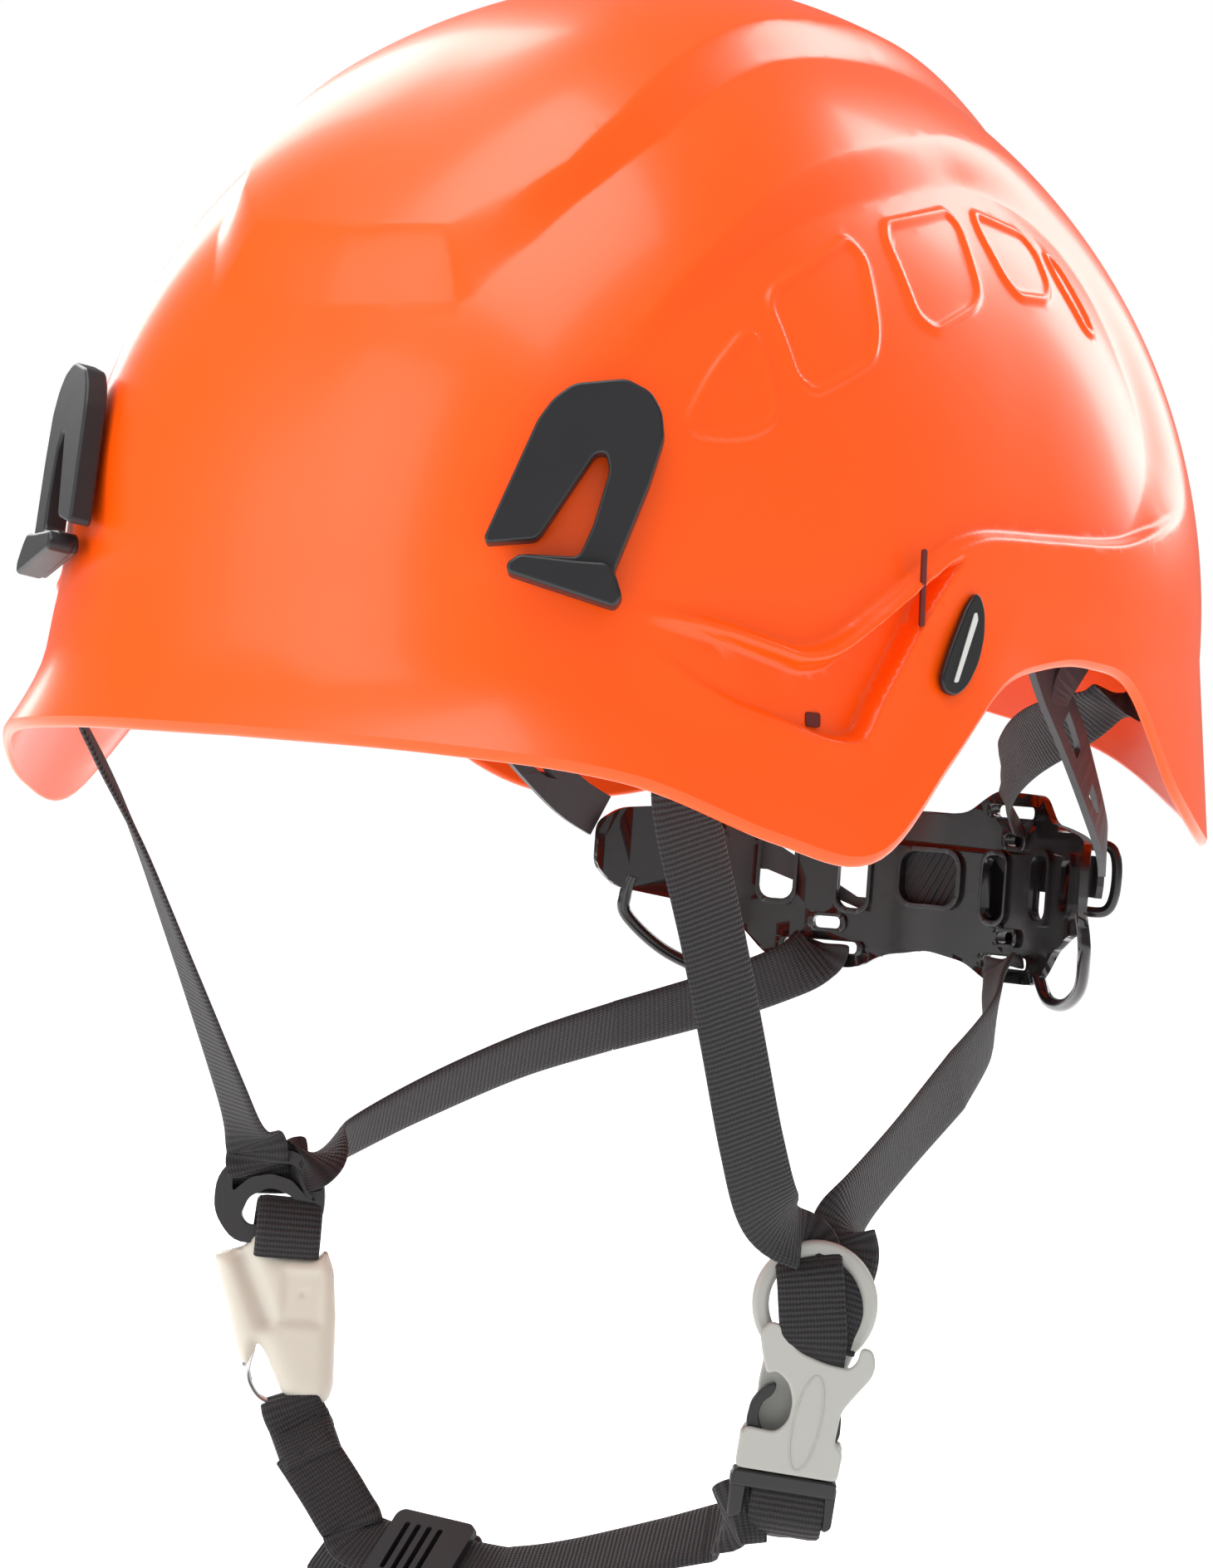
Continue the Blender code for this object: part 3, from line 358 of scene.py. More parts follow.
def plate(name, rings, depth, material, bevel=None, segments=3, middle=0.0):
    """A flat moulded piece of this depth, made round its own origin and riding on nothing yet."""
    return mesh_object(name, outline_mesh(rings, depth, middle), material, None, bevel=bevel,
                       segments=segments)


def mirrored(outline, side):
    return [(side * x, z) for x, z in outline]


def rounded(points, radius=1.0, steps=4):
    """A closed outline with each corner rounded off by up to this radius."""
    points = [Vector(p) for p in points]
    ring = []
    for i, corner in enumerate(points):
        before = points[i - 1] - corner
        after = points[(i + 1) % len(points)] - corner
        reach = min(radius, before.length * 0.45, after.length * 0.45)
        start = corner + before.normalized() * reach
        end = corner + after.normalized() * reach
        for n in range(steps + 1):
            t = n / steps
            place = start * (1 - t) ** 2 + corner * 2 * t * (1 - t) + end * t * t
            ring.append((place.x, place.y))
    return ring


def rounded_box_ring(x0, x1, z0, z1, radius, steps=5):
    ring = []
    corners = ((x1 - radius, z1 - radius, 0), (x0 + radius, z1 - radius, 90),
               (x0 + radius, z0 + radius, 180), (x1 - radius, z0 + radius, 270))
    for cx, cz, start in corners:
        for n in range(steps + 1):
            a = math.radians(start + 90 * n / steps)
            ring.append((cx + radius * math.cos(a), cz + radius * math.sin(a)))
    return ring


def pillow_mesh(ring, depth, edge, relief=None, grid=0.9):
    """A flat outline swelled to a soft pillow of that depth, its front pressed in by relief(x, z)."""
    line = np.array([(float(p[0]), float(p[1])) for p in ring])
    closed = np.vstack((line, line[:1]))
    sheets = bmesh.new()
    sheets.faces.new([sheets.verts.new(Vector((x, 0, z)) * MM) for x, z in line])
    low, high = line.min(axis=0), line.max(axis=0)
    for axis, normal in ((0, (1, 0, 0)), (1, (0, 0, 1))):
        for n in range(int((high[axis] - low[axis]) / grid)):
            at = (low[axis] + (n + 0.63) * grid) * MM
            place = (at, 0, 0) if axis == 0 else (0, 0, at)
            bisect(sheets, place, normal, dist=1e-7)
    sheets.verts.ensure_lookup_table()
    flat = np.array([(v.co.x / MM, v.co.z / MM) for v in sheets.verts])
    gap = line_distance(flat, closed)
    swell = depth / 2 * (0.3 + 0.7 * np.sqrt(np.clip(1 - (1 - np.clip(gap / edge, 0, 1)) ** 2, 0, 1)))
    pressed = relief(flat[:, 0], flat[:, 1]) * ease(0, 1.6, gap) if relief else np.zeros(len(flat))
    bm = bmesh.new()
    front = [bm.verts.new(Vector((x, -w + d, z)) * MM) for (x, z), w, d in zip(flat, swell, pressed)]
    back = [bm.verts.new(Vector((x, w, z)) * MM) for (x, z), w in zip(flat, swell)]
    for face in sheets.faces:
        index = [v.index for v in face.verts]
        bm.faces.new([front[i] for i in index])
        bm.faces.new([back[i] for i in reversed(index)])
    for edge_ in sheets.edges:
        if len(edge_.link_faces) == 1:
            a, b = (v.index for v in edge_.verts)
            bm.faces.new((front[a], front[b], back[b], back[a]))
    sheets.free()
    bmesh.ops.recalc_face_normals(bm, faces=bm.faces)
    return bm


def arc(radius_x, radius_z, degrees):
    """Points of an ellipse round the origin, at these angles."""
    return [(radius_x * math.cos(a), radius_z * math.sin(a)) for a in map(math.radians, degrees)]


def box_mesh(low, high):
    bm = bmesh.new()
    made = bmesh.ops.create_cube(bm, size=1.0)["verts"]
    size = Vector(high) - Vector(low)
    bmesh.ops.scale(bm, vec=size * MM, verts=made)
    bmesh.ops.translate(bm, vec=(Vector(high) + Vector(low)) / 2 * MM, verts=made)
    return bm


def sampled(points, steps):
    """Points of a smooth curve through the given ones, with this many steps between each two."""
    points = [Vector(p) for p in points]
    found = []
    for i in range(len(points) - 1):
        before = points[max(i - 1, 0)]
        start, end = points[i], points[i + 1]
        after = points[min(i + 2, len(points) - 1)]
        for n in range(steps):
            t = n / steps
            found.append(
                0.5 * (2 * start + (end - before) * t
                       + (2 * before - 5 * start + 4 * end - after) * t * t
                       + (3 * start - before - 3 * end + after) * t ** 3)
            )
    return found + [points[-1]]


def tube_mesh(points, radius, sides=12, cyclic=False, flat=1.0):
    """A round wire along a route, closed at its ends, and flattened across the route's plane by flat."""
    bm = bmesh.new()
    count = len(points)
    points = [Vector(p) for p in points]
    normal = Vector((0, 0, 0))
    for i in range(1, count - 1):
        normal += (points[i] - points[i - 1]).cross(points[i + 1] - points[i])
    normal = normal.normalized() if normal.length > 1e-6 else Vector((0, 1, 0))
    rings = []
    for i in range(count):
        ahead = points[(i + 1) % count] if cyclic else points[min(i + 1, count - 1)]
        behind = points[i - 1] if cyclic else points[max(i - 1, 0)]
        along = (ahead - behind).normalized()
        side = along.cross(normal).normalized()
        up = side.cross(along)
        rings.append([
            bm.verts.new((points[i] + (side * math.cos(a) + up * math.sin(a) * flat) * radius) * MM)
            for a in (2 * math.pi * n / sides for n in range(sides))
        ])
    last = count if cyclic else count - 1
    for i in range(last):
        one, two = rings[i], rings[(i + 1) % count]
        for n in range(sides):
            bm.faces.new((one[n], one[(n + 1) % sides], two[(n + 1) % sides], two[n]))
    if not cyclic:
        bm.faces.new(rings[0][::-1])
        bm.faces.new(rings[-1])
    bmesh.ops.recalc_face_normals(bm, faces=bm.faces)
    return bm


def add_rod(bm, start, end, radius, sides):
    """Adds a straight round rod to a mesh in the making."""
    rod = tube_mesh([start, end], radius, sides)
    made = bpy.data.meshes.new("rod")
    rod.to_mesh(made)
    rod.free()
    bm.from_mesh(made)
    bpy.data.meshes.remove(made)


def strap_mesh(route, looks, width, thickness, steps=10, taper=None):
    """Webbing along a smooth route, with rounded edges and coordinates across and along it in millimetres."""
    middle = sampled(route, steps)
    facings = sampled(looks, steps)
    profile = []
    for side in (1, -1):
        ends = (1.0, 0.93, 0.72, 0.36, 0.0, -0.36, -0.72, -0.93, -1.0)
        for across in (ends if side > 0 else ends[-2:0:-1]):
            edge = abs(across)
            height = 0.0 if edge == 1 else (0.72 if edge > 0.9 else 1.0)
            profile.append((across, side * height))
    bm = bmesh.new()
    layer = bm.loops.layers.uv.new("strap")
    rings, lengths = [], [0.0]
    for i, point in enumerate(middle):
        if i:
            lengths.append(lengths[-1] + (point - middle[i - 1]).length)
        along = (middle[min(i + 1, len(middle) - 1)] - middle[max(i - 1, 0)]).normalized()
        out = (facings[i] - along * facings[i].dot(along)).normalized()
        side = along.cross(out)
        wide = width * (taper(i / (len(middle) - 1)) if taper else 1)
        rings.append([
            bm.verts.new((point + side * across * wide / 2 + out * height * thickness / 2) * MM)
            for across, height in profile
        ])
    count = len(profile)
    for i in range(len(rings) - 1):
        for n in range(count):
            m = (n + 1) % count
            face = bm.faces.new((rings[i][n], rings[i][m], rings[i + 1][m], rings[i + 1][n]))
            for loop, (a, row) in zip(face.loops, ((n, i), (m, i), (m, i + 1), (n, i + 1))):
                loop[layer].uv = (profile[a][0] * width / 2, lengths[row])
    for row, ring in ((0, rings[0][::-1]), (len(rings) - 1, rings[-1])):
        bm.faces.new(ring)
    return bm


def facing(azimuth, rise=0.0):
    """A level direction at this angle from the front, lifted by rise before its length is made 1."""
    a = math.radians(azimuth)
    return Vector((math.sin(a), -math.cos(a), rise)).normalized()


def strap(name, route, looks, material, body="helmet", width=None, thickness=None, steps=10, taper=None):
    _, harness, _ = settings()
    width = width or harness.webbing_width / MM
    thickness = thickness or harness.webbing_thickness / MM
    bm = strap_mesh(route, looks, width, thickness, steps, taper)
    bmesh.ops.recalc_face_normals(bm, faces=bm.faces)
    return mesh_object(name, bm, material, body, smooth=60)


# ---------------------------------------------------------------------------------------- the shell


def through(knots, x):
    """A smooth curve through the knots, for a whole array at once."""
    xs, ys = np.array(knots, float).T
    slope = np.gradient(ys, xs, edge_order=1)
    slope[1:-1] = (ys[2:] - ys[:-2]) / (xs[2:] - xs[:-2])
    x = np.clip(x, xs[0], xs[-1])
    i = np.clip(np.searchsorted(xs, x, side="right") - 1, 0, len(xs) - 2)
    span = xs[i + 1] - xs[i]
    t = (x - xs[i]) / span
    start = ys[i] * (1 + 2 * t) * (1 - t) ** 2 + slope[i] * span * t * (1 - t) ** 2
    return start + ys[i + 1] * t * t * (3 - 2 * t) + slope[i + 1] * span * t * t * (t - 1)


def ease(low, high, x):
    """0 below low, 1 above high, and a smooth step between them."""
    t = np.clip((x - low) / (high - low), 0, 1)
    return t * t * (3 - 2 * t)


def folded(theta):
    """Degrees from the front, the same on both sides."""
    return np.abs((theta + 180) % 360 - 180)


def rim_height(theta):
    return through(RIM, folded(theta))


def base_surface(theta, z):
    """The smooth outer surface, before its raised and recessed areas."""
    a = np.radians(theta)
    sine, cosine = np.sin(a), np.cos(a)
    front = cosine > 0
    length = np.where(front, FRONT_LENGTH, REAR_LENGTH)
    power = np.where(front, FRONT_SQUARENESS, REAR_SQUARENESS)
    plan = ((np.abs(sine) / HALF_WIDTH) ** power + (np.abs(cosine) / length) ** power) ** (-1 / power)
    above = np.clip(z, 0, DOME_HEIGHT) / DOME_HEIGHT
    dome = np.clip(1 - above ** DOME_POWER, 0, 1) ** (1 / DOME_ROUNDNESS)
    scale = np.where(z > 0, dome, 1 - WALL_SPREAD * z / 100)
    brim = np.clip((rim_height(theta) + BRIM_HEIGHT - z) / BRIM_HEIGHT, 0, 1.2) ** 1.5
    radius = plan * scale + BRIM_FLARE * (1 - ease(58, 88, folded(theta))) * brim
    return np.stack((radius * sine, -radius * cosine, z), axis=-1)


def open_line(points, steps=5):
    """A smooth open line through the points, as an array of many short pieces."""
    return np.array([(p.x, p.y) for p in sampled([(*p, 0) for p in points], steps)])


def line_distance(points, line):
    """Distance from each point to a line of many short pieces."""
    best = np.full(len(points), 1e9)
    for a, b in zip(line[:-1], line[1:]):
        along = b - a
        t = np.clip((points - a) @ along / max(along @ along, 1e-9), 0, 1)
        gap = points - a - t[:, None] * along
        best = np.minimum(best, np.einsum("ij,ij->i", gap, gap))
    return np.sqrt(best)


def inside(points, line):
    """Whether each point lies inside a closed line."""
    found = np.zeros(len(points), bool)
    x, y = points[:, 0], points[:, 1]
    for (x0, y0), (x1, y1) in zip(line, np.roll(line, -1, axis=0)):
        crosses = (y0 > y) != (y1 > y)
        with np.errstate(divide="ignore", invalid="ignore"):
            at = x0 + (y - y0) * (x1 - x0) / (y1 - y0)
        found ^= crosses & (x < at)
    return found


def signed(points, line):
    """Distance to a closed line, negative inside it."""
    return np.where(inside(points, line), -1, 1) * line_distance(points, line)


def deck_rise(p):
    """The raised deck over the crown: 0 outside its foot, 1 on its top."""
    x, y, z = np.abs(p[:, 0]), p[:, 1], p[:, 2]
    angle = np.degrees(np.arctan2(z, -y))
    reach = np.hypot(y, z)
    flat = np.stack((np.radians(angle) * DECK_REACH, x), axis=-1)

    def outline(knots):
        half = [(math.radians(a) * DECK_REACH, w) for a, w in knots]
        return np.array(half + [(a, -w) for a, w in half[-2:0:-1]])

    foot = signed(flat, outline(DECK_FOOT))
    top = signed(flat, outline(DECK_TOP))
    t = np.where(foot > 0, 0, np.where(top < 0, 1, -foot / np.maximum(-foot + top, 1e-6)))
    return np.where((z > 20) & (reach > 40), 0.35 * ease(0, 1, t) + 0.65 * t, 0)


def relief(p, bead=0.6, fine=True):
    """How far the outer surface stands out from the smooth one, in millimetres."""
    side = np.stack((p[:, 1], p[:, 2]), axis=-1)
    x, y, z = np.abs(p[:, 0]), p[:, 1], p[:, 2]
    height = DECK_HEIGHT * deck_rise(p)
    on_side = x > 30
    inner = signed(side, np.concatenate((open_line(ARCH_INNER), [(33, -60), (-128, -60)])))
    outer = signed(side, np.concatenate((open_line(ARCH_OUTER), [(59, -60), (-132, -60)])))
    t = np.where(outer > 0, 1, np.where(inner < 0, 0, inner / np.maximum(inner - outer, 1e-6)))
    depth = PANEL_DEPTH * ease(-122, -88, y)
    foot = through(PANEL_FOOT, y)
    lifted = ease(0.4, 3.2, z - foot)
    panel = depth * (1 - 0.5 * ease(0, 1, t) - 0.5 * t) * lifted
    height = height - np.where(on_side, panel, 0)
    # The visor's pocket lies between the panel's foot and a second line below it.
    floor = through(POCKET_FOOT, y)
    room = np.minimum(foot - 0.6 - z, z - floor)
    span = ease(-121, -92, y) * (1 - ease(-41, -36, y))
    pocket = (POCKET_DEPTH + POCKET_DEEPENS * ease(-100, -62, y)) * span * ease(0, 2.2, room)
    height = height - np.where(on_side, pocket, 0)
    if fine:
        edge = np.exp(-((z - foot) / 1.5) ** 2) * ease(-119, -104, y) * (1 - ease(-62, -44, y))
        height = height + np.where(on_side, PANEL_EDGE * edge, 0)
        near = on_side & (y > -116) & (y < 48) & (z > 30) & (z < 106)
        marks = np.zeros(len(p))
        if near.any():
            gap = np.full(int(near.sum()), 1e9)
            for mark in PANEL_MARKS:
                ring = np.array(rounded(mark, MARK_ROUNDING, 5))
                gap = np.minimum(gap, line_distance(side[near], np.vstack((ring, ring[:1]))))
            marks[near] = bead * np.exp(-(gap / BEAD_WIDTH) ** 2)
        height = height + marks
    return height


def shell_surface(theta, z, out=0.0, fine=True, bead=0.6):
    """Points of the outer surface, or of one that lies further out, with its raised and recessed areas."""
    step = 0.4
    top = DOME_HEIGHT - 1e-3
    p = base_surface(theta, z)
    upward = base_surface(theta, np.minimum(z + step, top)) - base_surface(theta, z - step)
    around = base_surface(theta + step, z) - base_surface(theta - step, z)
    normal = np.cross(around, upward)
    size = np.linalg.norm(normal, axis=1)
    normal = np.where(size[:, None] > 1e-4, normal / np.maximum(size, 1e-9)[:, None], (0, 0, 1))
    return p + normal * (relief(p, bead, fine) + out)[:, None], normal


def parameter_height(theta, v):
    """The height at this angle where v runs from 0 at the rim to 1 at the crown."""
    low = rim_height(theta)
    return low + (DOME_HEIGHT - low) * np.sin(v * math.pi / 2)


def refined_cells(columns, rows, unit, surface, tolerance):
    """Cells of a grid, each split in four, and again, where the relief bends inside it."""
    cells = np.stack(np.meshgrid(np.arange(columns) * unit, np.arange(rows) * unit, indexing="ij"),
                     -1).reshape(-1, 2)
    size = unit
    done = []
    while size > 1:
        half = size // 2
        grid = np.array([(a, b) for a in (0, half, size) for b in (0, half, size)])
        at = (cells[:, None, :] + grid[None]).reshape(-1, 2)
        heights = surface(at).reshape(-1, 3, 3)
        middle = heights[:, 1, 1] - heights[:, ::2, ::2].mean(axis=(1, 2))
        sides = np.stack((heights[:, 0, 1] - heights[:, 0, ::2].mean(axis=1),
                          heights[:, 2, 1] - heights[:, 2, ::2].mean(axis=1),
                          heights[:, 1, 0] - heights[:, ::2, 0].mean(axis=1),
                          heights[:, 1, 2] - heights[:, ::2, 2].mean(axis=1), middle,), axis=1)
        bent = np.abs(sides).max(axis=1) > tolerance
        done += [(i, j, size) for i, j in cells[~bent]]
        quarters = np.array([(0, 0), (half, 0), (0, half), (half, half)])
        cells = (cells[bent][:, None, :] + quarters[None]).reshape(-1, 2)
        size = half
    return done + [(i, j, 1) for i, j in cells]


def outer_cells(bead):
    """Points and faces of the outer surface, from columns and rows of cells that are finer where it bends."""
    around, up = FINEST * SHELL_COLUMNS, FINEST * SHELL_ROWS

    def angles(at):
        theta = at[:, 0] * 360 / around
        return theta, parameter_height(theta, at[:, 1] / up)

    def heights(at):
        theta, z = angles(at)
        return relief(base_surface(theta, z), bead)

    cells = refined_cells(SHELL_COLUMNS, SHELL_ROWS, FINEST, heights, CELL_TOLERANCE)
    keys = sorted({(i % around, j) for ci, cj, s in cells for i in (ci, ci + s) for j in (cj, cj + s)})
    index = {key: n for n, key in enumerate(keys)}
    at = np.array(keys, float)
    theta, z = angles(at)
    points = shell_surface(theta, z, 0, True, bead)[0]
    points[at[:, 1] == up] = (0, 0, DOME_HEIGHT + CROWN_RISE)
    faces = []
    for ci, cj, s in cells:
        sides = (
            [(ci + k, cj) for k in range(s)] + [(ci + s, cj + k) for k in range(s)]
            + [(ci + s - k, cj + s) for k in range(s)] + [(ci, cj + s - k) for k in range(s)]
        )
        found = [(j, index.get((i % around, j))) for i, j in sides]
        crown = index.get((ci % around, up))
        faces.append([n for j, n in found if n is not None and (j < up or n == crown)])
    return [tuple(p) for p in points], faces


def inner_loops(columns, bead, wall):
    """Rings of points from the outer rim, round its lip and up the inner surface."""
    outer, normal = shell_surface(columns, rim_height(columns), 0, True, bead)
    middle = outer - normal * wall / 2
    loops = []
    for n in range(LIP_STEPS + 1):
        a = math.pi * n / LIP_STEPS
        drop = np.array((0, 0, 1)) * (wall * LIP_DROP * math.sin(a))
        loops.append(middle + normal * (wall / 2 * math.cos(a)) - drop)
    for layer in range(1, INNER_LAYERS):
        height = parameter_height(columns, np.full(len(columns), layer / INNER_LAYERS))
        points, way = shell_surface(columns, height, 0, False)
        raised = relief(base_surface(columns, height), bead, False)
        loops.append(points + way * (np.minimum(raised, 0) - raised - wall)[:, None])
    return loops


def shell_mesh(bead, wall):
    verts, faces = outer_cells(bead)
    count = SHELL_COLUMNS
    loops = inner_loops(np.arange(count) * 360 / count, bead, wall)
    start = len(verts)
    for loop in loops:
        verts += [tuple(p) for p in loop]
    for row in range(len(loops) - 1):
        for n in range(count):
            m = (n + 1) % count
            a = start + row * count
            faces.append((a + n, a + count + n, a + count + m, a + m))
    verts.append((0, 0, DOME_HEIGHT - wall))
    last = start + (len(loops) - 1) * count
    for n in range(count):
        faces.append((last + n, len(verts) - 1, last + (n + 1) % count))
    return verts, faces


class HELMET_OT_shell(bpy.types.Operator):
    """Builds the shell with its deck, side panels, pockets and rim."""

    bl_idname = "helmet.shell"
    bl_label = "Shell"

    def execute(self, context):
        shell, _, _ = settings()
        verts, faces = shell_mesh(shell.bead / MM, shell.wall / MM)
        verts = [tuple(c * MM for c in v) for v in verts]
        mesh = bpy.data.meshes.new("shell")
        mesh.from_pydata(verts, [], [tuple(f) for f in faces if len(set(f)) > 2])
        mesh.validate()
        mesh.shade_smooth()
        material = new_material("orange plastic", tuple(shell.colour), shell.roughness, coat=0.15,
                                specular=0.38)
        mesh.materials.append(add_grain(material, 0.9, 0.06, 0.03))
        finished(link_object("shell", mesh), "outer_shell", "helmet")
        return {"FINISHED"}


# ------------------------------------------------------------------------------ clips and side badges

CLIP_OUTLINE = ((9.5, 24), (15, 21.5), (17.6, 17.5), (18.5, 11.8), (16, 1), (10, -18), (12.1, -23),
                (10.7, -25.4), (-12, -19.6), (-12.2, -17.8), (-9.7, -15.2), (2.5, -15), (5, -8), (7.5, 4),
                (6.4, 7.6), (4.2, 7.2), (-6.5, -12), (-17.2, -13.6), (-17.8, -12.2), (-8.5, 14),
                (-5.5, 18.8), (-1.5, 22.2),)

CLIP_FOOT = ((8.8, -16.2), (10.6, -18.6), (12.4, -23.2), (10.9, -25.8), (-12.2, -19.9), (-12.5, -17.7),
             (-9.9, -15.6), (2, -16.2))


def at_shell(theta, height, out):
    """A point above the shell's smooth surface and the way it faces there."""
    p, normal = shell_surface(np.array([float(theta)]), np.array([float(height)]), out, False)
    return Vector(p[0]), Vector(normal[0])


def stand_on_shell(obj, theta, height, out):
    """Turns a piece to face out from the shell and sets it this far above the smooth surface."""
    place, normal = at_shell(theta, height, out)
    obj.rotation_euler = (normal * -1).to_track_quat("Y", "Z").to_euler()
    obj.location = place * MM
    return obj


class HELMET_OT_clips(bpy.types.Operator):
    """Builds the four lamp clips on the shell."""

    bl_idname = "helmet.clips"
    bl_label = "Lamp Clips"

    def execute(self, context):
        black = plastic("clip plastic", NEAR_BLACK, 0.42, 0.35, 0.1)
        for name, theta, height, side in (
            ("clip_front_left", 28.4, 23, 1), ("clip_front_right", -28.4, 23, -1),
            ("clip_rear_left", 161, 29, -1), ("clip_rear_right", -161, 29, 1),
        ):
            clip = plate("lamp_" + name, [rounded(mirrored(CLIP_OUTLINE, side), 1.6)], 5.2, black, 1.0)
            stand_on_shell(clip, theta, height, 3.4)
            finished(clip, name, "helmet")
            foot = plate("lamp_foot_" + name[5:], [rounded(mirrored(CLIP_FOOT, side), 1.2)], 6.2, black, 0.9)
            finished(stand_on_shell(foot, theta, height, 5.0), body="helmet")
        return {"FINISHED"}


BADGE_THETA = 70.5
BADGE_HEIGHT = -2
BADGE_OUTLINE = ((5.2, 11.5), (7.4, 7.5), (7.2, 1.5), (5, -4.5), (1, -9.8), (-3.4, -12.3), (-7.2, -11.4),
                 (-8.2, -8.4), (-4.6, -1.4), (1.4, 8.2))


class HELMET_OT_badges(bpy.types.Operator):
    """Builds the black leaf on each side of the shell, with a plain raised bar, and the dark plates painted
    as shadow in the visor slots near it.
    """

    bl_idname = "helmet.badges"
    bl_label = "Side Badges"

    def execute(self, context):
        black = plastic("badge plastic", (0.013, 0.013, 0.014), 0.36, 0.3, 0.06)
        pale = new_material("badge print", (0.62, 0.62, 0.6), 0.5)
        # Dark orange-red painted as the shadow inside the visor slots: thin dark plates stand on the shell
        # where its openings lie in shade.
        shade = plastic("painted slot shadow", (0.12, 0.006, 0.001), 0.6)
        for side, word in ((1, "left"), (-1, "right")):
            for name, theta, height, width, length in (
                ("upper", 64.6, 9, 1.5, 17), ("lower", 52.6, -21, 4.2, 3.2),
            ):
                ring = rounded_box_ring(-width / 2, width / 2, -length / 2, length / 2, 0.7)
                slot = plate(f"visor_slot_shadow_{name}_{word}", [ring], 0.8, shade, 0.2, 2)
                finished(stand_on_shell(slot, side * theta, height, 0.1), body="helmet")
        for side, name in ((1, "badge_left"), (-1, "badge_right")):
            leaf = plate("side_" + name, [rounded(mirrored(BADGE_OUTLINE, side), 2.2)], 1.6, black, 0.5)
            stand_on_shell(leaf, side * BADGE_THETA, BADGE_HEIGHT, 1.5)
            finished(leaf, name, "helmet")
            mark = mirrored(((-4.4, -9.2), (-3, -9.2), (4.4, 5), (4, 6.6), (3.2, 6.4)), side)
            bar = plate("side_mark_" + name, [rounded(mark, 0.5)], 0.3, pale)
            finished(stand_on_shell(bar, side * BADGE_THETA, BADGE_HEIGHT, 2.35), body="helmet")
        return {"FINISHED"}


# ------------------------------------------------------------------------------------ the suspension

CRADLE_CENTRE_Y = 43.0
CRADLE_RADIUS = 80.0
WHEEL_HEIGHT = -57


def bent_mesh(rings, radius_x, radius_y, centre_y, thickness, from_front):
    """A flat outline, s along and z up, with its holes, bent round an upright ellipse by its arc angle."""
    bm = outline_mesh(rings, thickness)
    bmesh.ops.triangulate(bm, faces=[f for f in bm.faces if len(f.verts) > 4])
    mean = (radius_x + radius_y) / 2
    step = math.radians(2.5) * mean * MM
    low = min(v.co.x for v in bm.verts)
    high = max(v.co.x for v in bm.verts)
    for n in range(math.ceil(low / step), math.floor(high / step) + 1):
        bisect(bm, ((n + 0.37) * step, 0, 0), (1, 0, 0), dist=1e-7)
    sign = -1 if from_front else 1
    for vert in bm.verts:
        angle = vert.co.x / MM / mean
        reach = (-vert.co.y if from_front else vert.co.y) / MM
        vert.co = Vector((math.sin(angle) * (radius_x + reach) * MM,
                          (centre_y + sign * math.cos(angle) * (radius_y + reach)) * MM, vert.co.z))
    bmesh.ops.recalc_face_normals(bm, faces=bm.faces)
    return bm


def on_cradle(s, radius, z):
    """A point this far round the cradle from its middle, at its own radius and height."""
    angle = s / CRADLE_RADIUS
    return Vector((radius * math.sin(angle), CRADLE_CENTRE_Y + radius * math.cos(angle), z))


class HELMET_OT_suspension(bpy.types.Operator):
    """Finishes the headband, crown straps, pads, yokes and rivets."""

    bl_idname = "helmet.suspension"
    bl_label = "Suspension"

    def execute(self, context):
        _, harness, _ = settings()
        grey = plastic("grey strip", GREY, 0.46, 0.4, 0.12)
        black = plastic("anchor plastic", (0.014, 0.014, 0.015), 0.35, 0.4, 0.08)
        foam = plastic("pad textile", (0.03, 0.03, 0.033), 0.9, 0.8, 0.5)
        fabric = webbing_material("crown webbing", tuple(harness.webbing_colour))
        repaint(grey, "front_headband", "yoke_left", "yoke_right")
        for end in ("front_left", "front_right", "rear_left", "rear_right"):
            repaint(black, "anchor_" + end, "yoke_rivet_" + end)
        pad = bent_mesh([rounded_box_ring(-100, 100, -9, 13, 8)], 80, 108, 0, 4.4, True)
        brow = mesh_object("brow_cushion", pad, foam, "helmet", bevel=1.6, segments=3)
        finished(brow, "brow_pad")
        bm = bmesh.new()
        bmesh.ops.create_cone(bm, cap_ends=True, segments=48, radius1=24 * MM, radius2=27 * MM, depth=6 * MM)
        bmesh.ops.translate(bm, verts=bm.verts, vec=(0, 0, 86.5 * MM))
        crown = mesh_object("crown_cushion", bm, foam, "helmet", bevel=2.4, segments=4)
        finished(crown, "crown_pad")
        for name, side, lift in (("crown_strap_left", 1, 0.0), ("crown_strap_right", -1, 3.6)):
            rise = ((84, 32), (80, 40), (68, 66), (42, 86 + lift))
            route = []
            for turn, points in ((48, rise), (0, [(0, 97 + lift)]), (-132, rise[::-1])):
                a = math.radians(turn)
                route += [Vector((side * reach * math.sin(a), -reach * math.cos(a), z)) for reach,
                          z in points]
            looks = [(place - Vector((0, 0, 10))).normalized() for place in route]
            piece = strap("crown_webbing_" + name[12:], route, looks, fabric, width=20, thickness=1.4)
            finished(piece, name)
        return {"FINISHED"}


